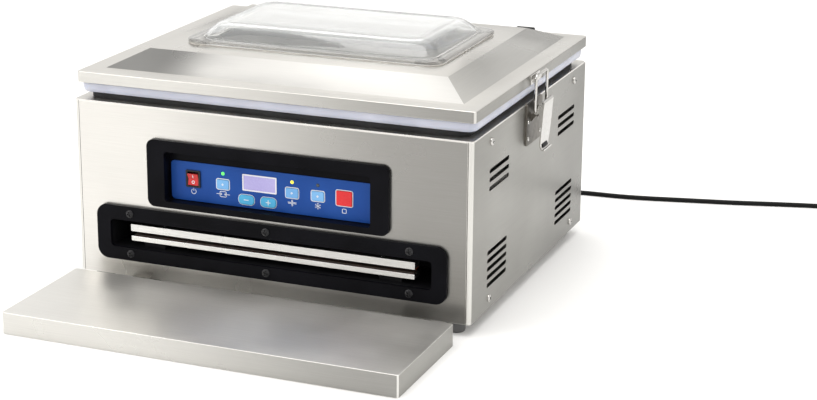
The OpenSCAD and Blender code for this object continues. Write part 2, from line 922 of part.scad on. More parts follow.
module tube(line, r, sides) {
    last = len(line) - 1;
    rings = [
        for (i = [0 : last])
            ring(line[i], unit(line[min(i + 1, last)] - line[max(i - 1, 0)]), r, sides)
    ];
    points = [for (one = rings, p = one) p];
    walls = [
        for (i = [0 : last - 1], k = [0 : sides - 1])
            let (a = i * sides + k, b = i * sides + (k + 1) % sides)
            [a, b, b + sides, a + sides]
    ];
    ends = [
        [for (k = [sides - 1 : -1 : 0]) k],
        [for (k = [0 : sides - 1]) last * sides + k]
    ];
    polyhedron(points = points, faces = concat(walls, ends));
}

module cord_gland() {
    nut_r = 11;
    color(black) placed() {
        bar_y(gland_x, body_d - sheet_t, gland_z, 8, sheet_t);
        bar_y(gland_x, body_d - sheet_t - 4, gland_z, nut_r, 4);
        bar_y(gland_x, body_d, gland_z, nut_r, 6);
        bar_y(gland_x, body_d + 6, gland_z, 6, gland_out - 6);
    }
}

module mains_cord() {
    color(black) tube(smooth_line(route, 3), cord_r, 8);
}

module cord_coil() {
    color(black) translate([coil_at[0], coil_at[1], 0]) rotate_extrude()
        translate([coil_r - coil_w / 2, 0]) square([coil_w, coil_h]);
}

module plug() {
    grip = 34;
    relief = 16;
    color(black) translate(plug_at) {
        bar_y(0, 0, 0, 5, relief);
        translate([-11, relief, -coil_h / 2]) cube([22, grip, coil_h]);
        for (x = [-7, 5.4])
            translate([x, relief + grip, -3.2]) cube([1.6, 18, 6.4]);
        bar_y(0, relief + grip, 4.6, 2.4, 16);
    }
}

base_pan();
front_panel();
side_panel_left();
side_panel_right();
rear_panel();
top_deck();
chamber_tub();
panel_bezel();
panel_backplate();
membrane_panel();
display_frame();
display_window();
led_vacuum();
led_seal();
led_cool();
switch_frame();
power_rocker();
button_vacuum();
button_minus();
button_plus();
button_seal();
button_cool();
button_stop();
control_board();
slot_bezel();
bezel_screws();
slot_liner();
lower_seal_bar();
heating_strip();
upper_seal_bar();
silicone_strip();
jaw_actuators();
side_screws();
feet();
lid_shell();
lid_liner();
lid_gasket();
lid_window();
window_seal();
hinge_brackets();
hinge_arms();
hinge_pins();
keeper();
latch_base();
latch_pin();
latch_lever();
latch_bail();
tray();
tray_rails();
rail_guides();
vacuum_pump();
transformer();
vacuum_hose();
cord_gland();
mains_cord();
cord_coil();
plug();
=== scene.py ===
# %% [markdown]
# # A vacuum sealer, dressed for the camera
# The engineering model gives every part its true place and size. This script
# keeps that frame and gives the machine its looks: bent and brushed steel, a
# clear dome, moulded black bezels, a printed key panel, a wire latch and a
# mains lead. Each cell makes one piece or one finish.

import json
import math

import bmesh
import bpy
from mathutils import Matrix, Vector

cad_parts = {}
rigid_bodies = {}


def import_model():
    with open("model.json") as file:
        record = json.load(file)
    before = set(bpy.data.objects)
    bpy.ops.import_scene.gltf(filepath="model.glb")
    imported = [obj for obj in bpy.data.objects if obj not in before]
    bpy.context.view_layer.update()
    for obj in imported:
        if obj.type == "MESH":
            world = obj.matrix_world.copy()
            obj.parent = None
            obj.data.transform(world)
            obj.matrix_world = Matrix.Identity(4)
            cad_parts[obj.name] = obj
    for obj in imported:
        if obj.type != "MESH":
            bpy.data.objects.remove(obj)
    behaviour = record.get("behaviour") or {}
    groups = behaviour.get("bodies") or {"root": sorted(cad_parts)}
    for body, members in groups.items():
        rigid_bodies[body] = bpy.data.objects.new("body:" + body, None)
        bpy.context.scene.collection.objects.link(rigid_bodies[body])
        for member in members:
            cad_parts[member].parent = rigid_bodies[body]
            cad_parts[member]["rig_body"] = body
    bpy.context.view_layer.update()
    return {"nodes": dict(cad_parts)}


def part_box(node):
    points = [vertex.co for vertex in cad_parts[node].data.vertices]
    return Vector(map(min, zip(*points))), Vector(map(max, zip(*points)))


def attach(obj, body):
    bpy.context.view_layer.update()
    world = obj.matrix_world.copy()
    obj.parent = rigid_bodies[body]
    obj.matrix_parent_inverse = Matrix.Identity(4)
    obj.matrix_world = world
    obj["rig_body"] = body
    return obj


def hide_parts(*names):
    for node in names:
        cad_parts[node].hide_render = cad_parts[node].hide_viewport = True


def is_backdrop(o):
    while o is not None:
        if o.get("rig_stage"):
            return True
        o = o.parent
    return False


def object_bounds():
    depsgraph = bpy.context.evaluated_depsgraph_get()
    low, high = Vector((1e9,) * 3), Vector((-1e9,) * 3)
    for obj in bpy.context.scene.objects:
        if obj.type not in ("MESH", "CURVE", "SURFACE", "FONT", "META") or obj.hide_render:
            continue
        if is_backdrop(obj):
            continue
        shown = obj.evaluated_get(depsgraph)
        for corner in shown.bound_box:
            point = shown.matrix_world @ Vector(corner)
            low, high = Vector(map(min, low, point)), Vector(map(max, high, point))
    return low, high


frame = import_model()
nodes = frame["nodes"]
MM = 0.001

# %% [markdown]
# ## Camera
# The camera stands to the right of the machine, above it and well back, with a
# long lens, so that the edges that run away from it hardly come together. It is
# turned with three plain angles: yaw to the left, pitch down and a touch of
# roll. A small sideways shift slides the picture without turning the camera.

# %% Camera
EYE = Vector((0.8118, -1.8167, 0.6991))
YAW, PITCH, ROLL = (math.radians(a) for a in (23.703, 17.168, -0.221))

forward = Vector((-math.sin(YAW) * math.cos(PITCH), math.cos(YAW) * math.cos(PITCH), -math.sin(PITCH)))
level = Vector((math.cos(YAW), math.sin(YAW), 0))
above = level.cross(forward)
right = math.cos(ROLL) * level + math.sin(ROLL) * above
up = -math.sin(ROLL) * level + math.cos(ROLL) * above

camera = bpy.data.objects.new("camera", bpy.data.cameras.new("camera"))
camera.data.sensor_width = 36
camera.data.lens = 88.53
camera.data.shift_x = 0.0961
camera.data.clip_start = 0.05
camera.data.clip_end = 50
turn = Matrix((right, up, -forward)).transposed().to_4x4()
camera.matrix_world = Matrix.Translation(EYE) @ turn
bpy.context.scene.collection.objects.link(camera)
bpy.context.scene.camera = camera
print("lens", camera.data.lens, "mm")

# %% [markdown]
# ## Mesh helpers
# Most pieces here are made in one of three ways. A *loft* joins rings of points
# that all have the same count, which suits domes, gaskets and turned parts. A
# *sweep* carries a small section along a path, which suits wire and folded
# strip. *Softened* takes a copy of an engineered part, merges its loose
# triangles and rounds its edges a little, because no real edge is perfectly
# sharp and it is the rounded edge that catches the light.

# %% Mesh helpers
def place_object(name, data):
    """A new object in the scene, at the origin."""
    made = bpy.data.objects.new(name, data)
    bpy.context.scene.collection.objects.link(made)
    return made


def evaluated_mesh(item):
    """The plain mesh that an object's modifiers make."""
    view = bpy.context.evaluated_depsgraph_get()
    view.update()
    return bpy.data.meshes.new_from_object(item.evaluated_get(view), depsgraph=view)


def closed_mesh(name, verts, faces):
    """A mesh with its doubled points merged and its normals outward."""
    mesh = bpy.data.meshes.new(name)
    mesh.from_pydata([tuple(v) for v in verts], [], faces)
    work = bmesh.new()
    work.from_mesh(mesh)
    bmesh.ops.remove_doubles(work, verts=work.verts, dist=1e-7)
    bmesh.ops.recalc_face_normals(work, faces=work.faces)
    work.to_mesh(mesh)
    work.free()
    return mesh


def new_piece(name, verts, faces, material, body, smooth_angle=35):
    """A closed mesh in the frame's own coordinates, riding on a body."""
    return finish_piece(name, closed_mesh(name, verts, faces), material, body, smooth_angle)


def finish_piece(name, mesh, material, body, smooth_angle=35):
    """Names a mesh, shades it smooth up to an angle, and hangs it on its body."""
    mesh.name = name
    mesh.materials.clear()
    mesh.materials.append(material)
    for face in mesh.polygons:
        face.use_smooth = True
    mesh.set_sharp_from_angle(angle=math.radians(smooth_angle))
    piece = place_object(name, mesh)
    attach(piece, body)
    return piece


def loft(rings, closed=False):
    """Points and faces through rings of equal length: capped, or joined end to end."""
    count = len(rings[0])
    verts = [p for ring in rings for p in ring]
    spans = len(rings) if closed else len(rings) - 1
    faces = []
    for i in range(spans):
        a, b = i * count, ((i + 1) % len(rings)) * count
        faces += [(a + k, a + (k + 1) % count, b + (k + 1) % count, b + k) for k in range(count)]
    if not closed:
        faces.append(tuple(range(count)))
        faces.append(tuple(range(len(verts) - count, len(verts))))
    return verts, faces


def rounded_ring(centre, width, depth, radius, z, steps=8):
    """A rounded rectangle lying flat at height z."""
    radius = max(radius, 0.05 * MM)
    ring = []
    for quarter in range(4):
        sx, sy = ((1, 1), (-1, 1), (-1, -1), (1, -1))[quarter]
        corner = Vector((centre[0] + sx * (width / 2 - radius), centre[1] + sy * (depth / 2 - radius)))
        for k in range(steps + 1):
            angle = math.pi / 2 * (quarter + k / steps)
            ring.append((corner.x + radius * math.cos(angle), corner.y + radius * math.sin(angle), z))
    return ring


def turned(profile, place, axis, steps=40):
    """A turned part: (radius, along) pairs spun round an axis through place."""
    axis = Vector(axis).normalized()
    side = axis.orthogonal().normalized()
    other = axis.cross(side)
    rings = []
    for radius, along in profile:
        middle = Vector(place) + axis * along
        rings.append([
            middle + max(radius, 1e-6) * (math.cos(a) * side + math.sin(a) * other)
            for a in (2 * math.pi * k / steps for k in range(steps))
        ])
    return loft(rings)


def with_round_corners(points, radius, steps=6):
    """A path whose inner corners are arcs of the given radius."""
    path = [Vector(points[0])]
    for before, corner, after in zip(points, points[1:], points[2:]):
        corner = Vector(corner)
        to_before = (Vector(before) - corner).normalized()
        to_after = (Vector(after) - corner).normalized()
        half = to_before.angle(to_after) / 2
        reach = radius / math.tan(half)
        start, end = corner + to_before * reach, corner + to_after * reach
        centre = corner + (to_before + to_after).normalized() * (radius / math.sin(half))
        a, b = start - centre, end - centre
        whole = a.angle(b)
        for k in range(steps + 1):
            t = k / steps
            spread = math.sin((1 - t) * whole) * a + math.sin(t * whole) * b
            path.append(centre + spread / math.sin(whole))
    path.append(Vector(points[-1]))
    return path


def swept_wire(path, radius, sides=12):
    """A round wire along a path, its ends closed."""
    rings = []
    last = None
    for i, point in enumerate(path):
        ahead = path[min(i + 1, len(path) - 1)] - path[max(i - 1, 0)]
        ahead.normalize()
        side = last - ahead * last.dot(ahead) if last else ahead.orthogonal()
        side.normalize()
        last = side
        other = ahead.cross(side)
        rings.append([
            point + radius * (math.cos(a) * side + math.sin(a) * other)
            for a in (2 * math.pi * k / sides for k in range(sides))
        ])
    return loft(rings)


def swept_strip(path, thickness, y_low, y_high):
    """A folded sheet: a path in X and Z, given a thickness and a width along Y."""
    rings = []
    for i, point in enumerate(path):
        ahead = path[min(i + 1, len(path) - 1)] - path[max(i - 1, 0)]
        ahead.normalize()
        out = Vector((ahead.z, 0, -ahead.x)) * thickness / 2
        rings.append([
            point + out + Vector((0, y_low, 0)), point + out + Vector((0, y_high, 0)),
            point - out + Vector((0, y_high, 0)), point - out + Vector((0, y_low, 0)),
        ])
    return loft(rings)


def softened(node, radius, material, name=None, segments=2, smooth_angle=40):
    """A copy of an engineered part with its edges rounded, standing for that part."""
    source = nodes[node]
    mesh = source.data.copy()
    work = bmesh.new()
    work.from_mesh(mesh)
    bmesh.ops.remove_doubles(work, verts=work.verts, dist=2e-6)
    bmesh.ops.dissolve_limit(
        work, angle_limit=math.radians(1), verts=work.verts, edges=work.edges, delimit={"NORMAL"}
    )
    work.to_mesh(mesh)
    work.free()
    shell = place_object("softening", mesh)
    bevel = shell.modifiers.new("edges", "BEVEL")
    bevel.width = radius
    bevel.segments = segments
    bevel.limit_method = "ANGLE"
    bevel.angle_limit = math.radians(smooth_angle)
    bevel.harden_normals = True
    for face in mesh.polygons:
        face.use_smooth = True
    mesh.set_sharp_from_angle(angle=math.radians(smooth_angle))
    result = evaluated_mesh(shell)
    bpy.data.objects.remove(shell)
    result.materials.clear()
    result.materials.append(material)
    piece_name = name or node + "_finished"
    result.name = piece_name
    piece = place_object(piece_name, result)
    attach(piece, source["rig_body"])
    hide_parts(node)
    return piece


def reface(piece, material, test):
    """Gives a second finish to the faces that a test picks by normal and centre."""
    piece.data.materials.append(material)
    index = len(piece.data.materials) - 1
    for face in piece.data.polygons:
        if test(face.normal, face.center):
            face.material_index = index
    return piece


def middle(node):
    """The centre of a CAD node's box."""
    low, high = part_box(node)
    return (low + high) / 2


print("helpers ready")

# %% [markdown]
# ## The mains lead's route
# A lead is one length of flexible rubber cable. It leaves its gland straight,
# sags to the table, runs behind the machine and off to the right in one loose
# curve, and its spare length lies there in a small round coil with the plug.
# The route's points are the engineered lead's, but for its last one: two points
# stand there, to meet the coil. The coil is worked out: five and a quarter
# turns, two wide and three high.

# %% Route of the lead
CORD_RADIUS = 2.6 * MM
ROUTE = [
    (113, 277, 45), (113, 292, 44), (114, 310, 38), (117, 330, 25), (122, 349, 12),
    (130, 366, 5), (141, 380, 3), (156, 389, 2.6), (176, 393, 2.6), (205, 393, 2.6),
    (235, 397, 2.6), (258, 402, 2.6), (283, 408, 2.6), (305, 413, 2.6), (328, 418, 2.6),
    (359, 426, 2.6), (393, 436, 2.6), (423, 444, 2.6), (451, 450, 2.6), (469, 453, 2.6),
    (484, 453, 2.6),
]
COIL_CENTRE = Vector((498, 486, 0))
COIL_TURNS = [(33.2, 2.7), (27.9, 2.7), (27.9, 8.0), (33.2, 8.0), (33.2, 13.3), (33.2, 13.3)]
STEPS_PER_TURN = 24
QUARTER = STEPS_PER_TURN // 4


def coil_point(step):
    """A point of the coil, counted from where the lead meets it."""
    turn_number, within = divmod(step, STEPS_PER_TURN)
    here = COIL_TURNS[turn_number]
    ahead_turn = COIL_TURNS[min(turn_number + 1, len(COIL_TURNS) - 1)]
    share = max(0, (within / STEPS_PER_TURN - 0.7) / 0.3)
    share = share * share * (3 - 2 * share)
    radius = here[0] + (ahead_turn[0] - here[0]) * share
    height = here[1] + (ahead_turn[1] - here[1]) * share
    angle = -math.pi / 2 + 2 * math.pi * step / STEPS_PER_TURN
    return COIL_CENTRE + Vector((radius * math.cos(angle), radius * math.sin(angle), height))


coil_points = [coil_point(s) for s in range(5 * STEPS_PER_TURN + QUARTER + 1)]
to_plug = [(531.2, 495, 11.5), (531.2, 503, 9), (531.2, 510, 8)]
cord_points = [Vector(p) * MM for p in [*ROUTE, *coil_points, *to_plug]]
print("lead points", len(cord_points))

# %% [markdown]
# ## Shader helpers
# Effects that several finishes share are shader node groups, built once. Each
# group takes a position and sizes and gives back a mask, a value or a normal.
# The Principled shader itself stays in each material.

# %% Shader helpers
def add(tree, kind, **settings):
    """A new node with its settings."""
    made = tree.nodes.new(kind)
    for key, value in settings.items():
        setattr(made, key, value)
    return made


def join(tree, source, target):
    tree.links.new(source, target)


def group(name, inputs, outputs):
    """An empty node group with named sockets."""
    tree = bpy.data.node_groups.new(name, "ShaderNodeTree")
    for label, kind, value in inputs:
        made = tree.interface.new_socket(label, in_out="INPUT", socket_type=kind)
        if value is not None:
            made.default_value = value
    for label, kind in outputs:
        tree.interface.new_socket(label, in_out="OUTPUT", socket_type=kind)
    return tree, add(tree, "NodeGroupInput"), add(tree, "NodeGroupOutput")


def remap(tree, source, low, high, to_low=0.0, to_high=1.0):
    """Stretches a value from one range to another, held at its ends."""
    made = add(tree, "ShaderNodeMapRange")
    join(tree, source, made.inputs["Value"])
    made.inputs["From Min"].default_value = low
    made.inputs["From Max"].default_value = high
    made.inputs["To Min"].default_value = to_low
    made.inputs["To Max"].default_value = to_high
    return made.outputs["Result"]


def blend_colours(tree, mask, first, second):
    """Mixes two colours by a mask."""
    made = add(tree, "ShaderNodeMix", data_type="RGBA")
    join(tree, mask, made.inputs["Factor"])
    made.inputs["A"].default_value = (*first, 1)
    made.inputs["B"].default_value = (*second, 1)
    return made.outputs["Result"]


def brushed_grain_group():
    """Long fine scratches along one direction, with broad soft smudges over them."""
    tree, given, out = group(
        "Brushed grain",
        [("Position", "NodeSocketVector", None), ("Stretch", "NodeSocketVector", (10, 900, 900))],
        [("Streaks", "NodeSocketFloat"), ("Smudges", "NodeSocketFloat")],
    )
    scale = add(tree, "ShaderNodeVectorMath", operation="MULTIPLY")
    join(tree, given.outputs["Position"], scale.inputs[0])
    join(tree, given.outputs["Stretch"], scale.inputs[1])
    scratches = add(tree, "ShaderNodeTexNoise")
    join(tree, scale.outputs["Vector"], scratches.inputs["Vector"])
    scratches.inputs["Scale"].default_value = 1
    scratches.inputs["Detail"].default_value = 5
    scratches.inputs["Roughness"].default_value = 0.65
    smudges = add(tree, "ShaderNodeTexNoise")
    join(tree, given.outputs["Position"], smudges.inputs["Vector"])
    smudges.inputs["Scale"].default_value = 9
    smudges.inputs["Detail"].default_value = 3
    join(tree, remap(tree, scratches.outputs["Fac"], 0.3, 0.7), out.inputs["Streaks"])
    join(tree, remap(tree, smudges.outputs["Fac"], 0.35, 0.65), out.inputs["Smudges"])
    return tree


def edge_group():
    """A mask that is bright along edges, found by rounding the normal and comparing."""
    tree, given, out = group("Edges", [("Width", "NodeSocketFloat", 0.001)], [("Mask", "NodeSocketFloat")])
    rounded = add(tree, "ShaderNodeBevel", samples=4)
    join(tree, given.outputs["Width"], rounded.inputs["Radius"])
    surface = add(tree, "ShaderNodeNewGeometry")
    dot = add(tree, "ShaderNodeVectorMath", operation="DOT_PRODUCT")
    join(tree, rounded.outputs["Normal"], dot.inputs[0])
    join(tree, surface.outputs["Normal"], dot.inputs[1])
    join(tree, remap(tree, dot.outputs["Value"], 0.99, 0.8), out.inputs["Mask"])
    return tree


def moulded_group():
    """The fine pebbled skin of a moulding, and a slow change of tone."""
    tree, given, out = group(
        "Moulded skin",
        [("Position", "NodeSocketVector", None), ("Fineness", "NodeSocketFloat", 1600)],
        [("Pebbles", "NodeSocketFloat"), ("Tone", "NodeSocketFloat")],
    )
    fine = add(tree, "ShaderNodeTexNoise")
    join(tree, given.outputs["Position"], fine.inputs["Vector"])
    join(tree, given.outputs["Fineness"], fine.inputs["Scale"])
    fine.inputs["Detail"].default_value = 2
    broad = add(tree, "ShaderNodeTexNoise")
    join(tree, given.outputs["Position"], broad.inputs["Vector"])
    broad.inputs["Scale"].default_value = 22
    join(tree, fine.outputs["Fac"], out.inputs["Pebbles"])
    join(tree, remap(tree, broad.outputs["Fac"], 0.35, 0.65), out.inputs["Tone"])
    return tree


GRAIN = brushed_grain_group()
EDGES = edge_group()
SKIN = moulded_group()


def new_material(name):
    """A material with its tree, Principled shader and object coordinates."""
    material = bpy.data.materials.new(name)
    material.use_nodes = True
    tree = material.node_tree
    shader = tree.nodes["Principled BSDF"]
    place = add(tree, "ShaderNodeTexCoord").outputs["Object"]
    return material, tree, shader, place


def use_group(tree, shared, **values):
    """Places a shared group in a material."""
    made = add(tree, "ShaderNodeGroup", node_tree=shared)
    for key, value in values.items():
        socket = made.inputs[key]
        if isinstance(value, bpy.types.NodeSocket):
            join(tree, value, socket)
        else:
            socket.default_value = value
    return made


def bump(tree, height, distance, strength, shader):
    """Raises the surface by a height value."""
    made = add(tree, "ShaderNodeBump")
    made.inputs["Distance"].default_value = distance
    made.inputs["Strength"].default_value = strength
    join(tree, height, made.inputs["Height"])
    join(tree, made.outputs["Normal"], shader.inputs["Normal"])


print("shader groups", [g.name for g in bpy.data.node_groups])

# %% [markdown]
# ## Finishes
# Brushed stainless steel gets its look from scratches that all run one way: they change the tone a little,
# spread the highlight, and rub brighter along folded edges. Turned over for each sheet, the same recipe makes
# the front, the sides and the bars. The lighter and darker copies of it for the front slope, the right slope,
# the bends, the front edges, the sides and the tray, and the fades across some of them, are painted light and
# shade. Plastics differ in their skin: a bezel is pebbled, a key is glossy, and a rubber is dull.

# %% Finishes
def brushed_metal(name, stretch, dark, light, rough=(0.26, 0.36), relief=0.000003, painted_shade_fade=None, axis="X"):
    material, tree, shader, place = new_material(name)
    grain = use_group(tree, GRAIN, Position=place, Stretch=stretch)
    edges = use_group(tree, EDGES, Width=0.0012)
    tone = blend_colours(tree, grain.outputs["Streaks"], dark, light)
    # The fade scales the colour down along one axis, from full at start to least at end: painted shade.
    if painted_shade_fade:
        start, end, least = painted_shade_fade
        along = add(tree, "ShaderNodeSeparateXYZ")
        join(tree, place, along.inputs["Vector"])
        shade = add(tree, "ShaderNodeMapRange", interpolation_type="SMOOTHSTEP")
        join(tree, along.outputs[axis], shade.inputs["Value"])
        shade.inputs["From Min"].default_value = start
        shade.inputs["From Max"].default_value = end
        shade.inputs["To Min"].default_value = 1
        shade.inputs["To Max"].default_value = least
        darken = add(tree, "ShaderNodeVectorMath", operation="SCALE")
        join(tree, tone, darken.inputs["Vector"])
        join(tree, shade.outputs["Result"], darken.inputs["Scale"])
        tone = darken.outputs["Vector"]
    bright = add(tree, "ShaderNodeMix", data_type="RGBA")
    join(tree, edges.outputs["Mask"], bright.inputs["Factor"])
    join(tree, tone, bright.inputs["A"])
    bright.inputs["B"].default_value = (*(min(1, c * 1.25) for c in light), 1)
    join(tree, bright.outputs["Result"], shader.inputs["Base Color"])
    roughness = remap(tree, grain.outputs["Smudges"], 0, 1, *rough)
    join(tree, roughness, shader.inputs["Roughness"])
    shader.inputs["Metallic"].default_value = 1
    bump(tree, grain.outputs["Streaks"], relief, 0.35, shader)
    return material


def moulding(name, dark, light, rough, fineness=1600, relief=0.00004, coat=0.0, specular=0.3):
    material, tree, shader, place = new_material(name)
    skin = use_group(tree, SKIN, Position=place, Fineness=fineness)
    join(tree, blend_colours(tree, skin.outputs["Tone"], dark, light), shader.inputs["Base Color"])
    roughness = remap(tree, skin.outputs["Pebbles"], 0.3, 0.7, rough - 0.05, rough + 0.07)
    join(tree, roughness, shader.inputs["Roughness"])
    shader.inputs["Coat Weight"].default_value = coat
    shader.inputs["Specular IOR Level"].default_value = specular
    bump(tree, skin.outputs["Pebbles"], relief, 0.5, shader)
    return material


def lamp_finish(name, colour, glow):
    material, tree, shader, place = new_material(name)
    skin = use_group(tree, SKIN, Position=place, Fineness=900)
    darker = tuple(c * 0.7 for c in colour)
    join(tree, blend_colours(tree, skin.outputs["Tone"], darker, colour), shader.inputs["Base Color"])
    join(tree, blend_colours(tree, skin.outputs["Pebbles"], darker, colour), shader.inputs["Emission Color"])
    shader.inputs["Emission Strength"].default_value = glow
    shader.inputs["Roughness"].default_value = 0.15
    shader.inputs["Coat Weight"].default_value = 0.6
    return material


ACROSS, BACKWARD, UPWARD = (20, 2200, 2200), (2200, 20, 2200), (2200, 2200, 20)
STEEL_DARK, STEEL_LIGHT = (0.62, 0.605, 0.575), (0.68, 0.665, 0.635)
# These two tones are a darker copy of the steel's: painted shade for the sides.
SHADED_DARK, SHADED_LIGHT = (0.28, 0.275, 0.257), (0.32, 0.314, 0.293)
# The next two tones are a lighter copy of the steel's: a painted highlight for the lid's front slope.
LIT_SLOPE_DARK, LIT_SLOPE_LIGHT = (0.8, 0.79, 0.765), (0.86, 0.85, 0.825)
steel_across = brushed_metal("steel brushed across", ACROSS, STEEL_DARK, STEEL_LIGHT)
# The front's colour fades darker towards the right: painted shade, where its reflection falls off away from
# the front-left light.
steel_front_shaded = brushed_metal("steel of the front", ACROSS, STEEL_DARK, STEEL_LIGHT, painted_shade_fade=(-0.18, 0.16, 0.42))
# The front edges of the lid and the tray get a darker copy of the steel that fades darker still to the right:
# painted shade.
steel_edge_shaded = brushed_metal(
    "steel of the front edges, painted shade", ACROSS, (0.55, 0.54, 0.515), (0.61, 0.6, 0.57), painted_shade_fade=(-0.12, 0.2, 0.5),
)
# The lid's front slope gets the lighter copy as a painted highlight, and its fade leaves a darker patch at
# the slope's left end as a painted reflection.
steel_slope_lit = brushed_metal(
    "steel of the front slope, painted light and shade", ACROSS, LIT_SLOPE_DARK, LIT_SLOPE_LIGHT, painted_shade_fade=(-0.085, -0.15, 0.42),
)
# The lid's right slope gets a darker copy of the steel: painted shade.
steel_side_shaded = brushed_metal("steel of the right slope, painted shade", BACKWARD, (0.46, 0.452, 0.43), (0.52, 0.512, 0.49))
# The corner bends keep a full light tone between the darkened front and sides: a painted highlight along each
# bend.
steel_bend_highlight = brushed_metal("steel of the corner bends, painted highlight", UPWARD, (0.6, 0.59, 0.56), (0.68, 0.67, 0.64))
# The tray's top gets a lighter copy of the steel: painted light.
steel_tray_lit = brushed_metal("steel of the tray, painted light", ACROSS, (0.68, 0.67, 0.645), (0.76, 0.75, 0.725), (0.4, 0.5))
# The sides get the darker copy, fading darker still towards the back: painted shade.
steel_back_shaded = brushed_metal(
    "steel brushed front to back, painted shade", BACKWARD, SHADED_DARK, SHADED_LIGHT, painted_shade_fade=(0.02, 0.26, 0.72), axis="Y",
)
polished = brushed_metal(
    "plated steel", (300, 300, 300), (0.5, 0.49, 0.47), (0.62, 0.61, 0.59), (0.08, 0.16), 0.000003,
)
# The latch base is a dull plate, coloured darker still as painted shade behind the lever.
base_steel_shaded = brushed_metal(
    "dull zinc plate, with painted shade", (120, 120, 120), (0.1, 0.09, 0.075), (0.2, 0.185, 0.165), (0.3, 0.5), 0.00001,
)
aluminium = brushed_metal(
    "aluminium bar", (12, 2000, 2000), (0.58, 0.58, 0.57), (0.7, 0.7, 0.69), (0.22, 0.32),
)
black_plastic = moulding(
    "black bezel plastic", (0.002, 0.002, 0.003), (0.004, 0.004, 0.006), 0.36, 1900, 0.00002, 0.0, 0.06,
)
black_gloss = moulding(
    "black glossy plastic", (0.008, 0.008, 0.01), (0.014, 0.014, 0.016), 0.22, 700, 0.00001,
)
blue_film = moulding(
    "blue printed film", (0.011, 0.062, 0.29), (0.015, 0.076, 0.33), 0.4, 2600, 0.00001, 0.0, 0.15,
)
key_blue = moulding("light blue key", (0.13, 0.36, 0.72), (0.19, 0.46, 0.82), 0.3, 1200, 0.00001, 0.3)
key_cyan = moulding("cyan key", (0.05, 0.38, 0.66), (0.08, 0.46, 0.75), 0.3, 1200, 0.00001, 0.3)
key_red = moulding("red key", (0.68, 0.008, 0.012), (0.8, 0.016, 0.02), 0.3, 1200, 0.00001, 0.3)
rocker_red = moulding("red rocker", (0.5, 0.006, 0.008), (0.66, 0.012, 0.014), 0.2, 900, 0.00001, 0.5)
print_white = moulding("white print", (0.74, 0.76, 0.8), (0.82, 0.84, 0.88), 0.5, 2000, 0.00001)
frame_white = moulding("white moulding", (0.78, 0.78, 0.84), (0.86, 0.86, 0.9), 0.35, 1500, 0.00001)
lens_lavender = moulding("display lens", (0.42, 0.38, 0.72), (0.5, 0.46, 0.8), 0.25, 500, 0.00001, 0.4)
lamp_green = lamp_finish("green lamp", (0.1, 0.75, 0.1), 1.2)
lamp_yellow = lamp_finish("yellow lamp", (0.85, 0.78, 0.05), 1.0)
lamp_dark = lamp_finish("unlit lamp", (0.012, 0.03, 0.05), 0.0)
dark_rubber = moulding("dark rubber", (0.012, 0.012, 0.013), (0.022, 0.022, 0.024), 0.6, 1100, 0.00006)
grey_rubber = moulding("grey rubber", (0.1, 0.1, 0.1), (0.15, 0.15, 0.15), 0.65, 1100, 0.00008)
cord_rubber = moulding(
    "lead rubber", (0.003, 0.003, 0.003), (0.006, 0.006, 0.006), 0.5, 1500, 0.00003, 0.0, 0.15,
)
black_coat = moulding(
    "black powder coat", (0.004, 0.004, 0.005), (0.008, 0.008, 0.009), 0.5, 2400, 0.00006, 0.0, 0.12,
)
casting = moulding("painted casting", (0.1, 0.11, 0.12), (0.14, 0.15, 0.165), 0.55, 600, 0.0002)
lamination = moulding("varnished core", (0.1, 0.055, 0.02), (0.14, 0.08, 0.03), 0.4, 900, 0.00005)
board_green = moulding("circuit board", (0.008, 0.08, 0.03), (0.012, 0.11, 0.04), 0.4, 800, 0.00002)
seal_grey = moulding("window seal", (0.5, 0.48, 0.45), (0.58, 0.56, 0.53), 0.5, 900, 0.00002)
silicone_red = moulding("red silicone", (0.4, 0.08, 0.03), (0.48, 0.1, 0.04), 0.6, 900, 0.00003)
print("finishes", len(bpy.data.materials))

# %% [markdown]
# Three finishes let light in. The window is clear acrylic: it refracts, and it lets shadow rays through so
# that the chamber below isn't black. Its top lets less light through than its sides and so shows more of its
# pale base colour, as a painted reflection of the bright ceiling. The gasket is milky silicone, which
# scatters light inside itself. The tape over the heating strip is a woven cloth soaked in a non-stick resin,
# coloured near black as painted shade in the gap between the bars.

# %% Finishes that let light through, and woven tape
def clear_acrylic():
    material, tree, shader, place = new_material("clear acrylic")
    skin = use_group(tree, SKIN, Position=place, Fineness=260)
    tint = blend_colours(tree, skin.outputs["Tone"], (0.88, 0.895, 0.9), (0.93, 0.94, 0.945))
    join(tree, tint, shader.inputs["Base Color"])
    join(tree, remap(tree, skin.outputs["Tone"], 0, 1, 0.02, 0.06), shader.inputs["Roughness"])
    shader.inputs["IOR"].default_value = 1.49
    shader.inputs["Coat Weight"].default_value = 0.4
    parts = add(tree, "ShaderNodeSeparateXYZ")
    join(tree, place, parts.inputs["Vector"])
    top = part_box("lid_window")[1].z
    # Less light goes through near the top, so the top shows more of its pale base colour: a painted
    # reflection of the bright ceiling.
    clearness_with_painted_reflection = remap(tree, parts.outputs["Z"], top - 6 * MM, top - 1.2 * MM, 0.93, 0.76)
    join(tree, clearness_with_painted_reflection, shader.inputs["Transmission Weight"])
    clear = add(tree, "ShaderNodeBsdfTransparent")
    path = add(tree, "ShaderNodeLightPath")
    either = add(tree, "ShaderNodeMixShader")
    join(tree, path.outputs["Is Shadow Ray"], either.inputs["Fac"])
    join(tree, shader.outputs["BSDF"], either.inputs[1])
    join(tree, clear.outputs["BSDF"], either.inputs[2])
    join(tree, either.outputs["Shader"], tree.nodes["Material Output"].inputs["Surface"])
    return material


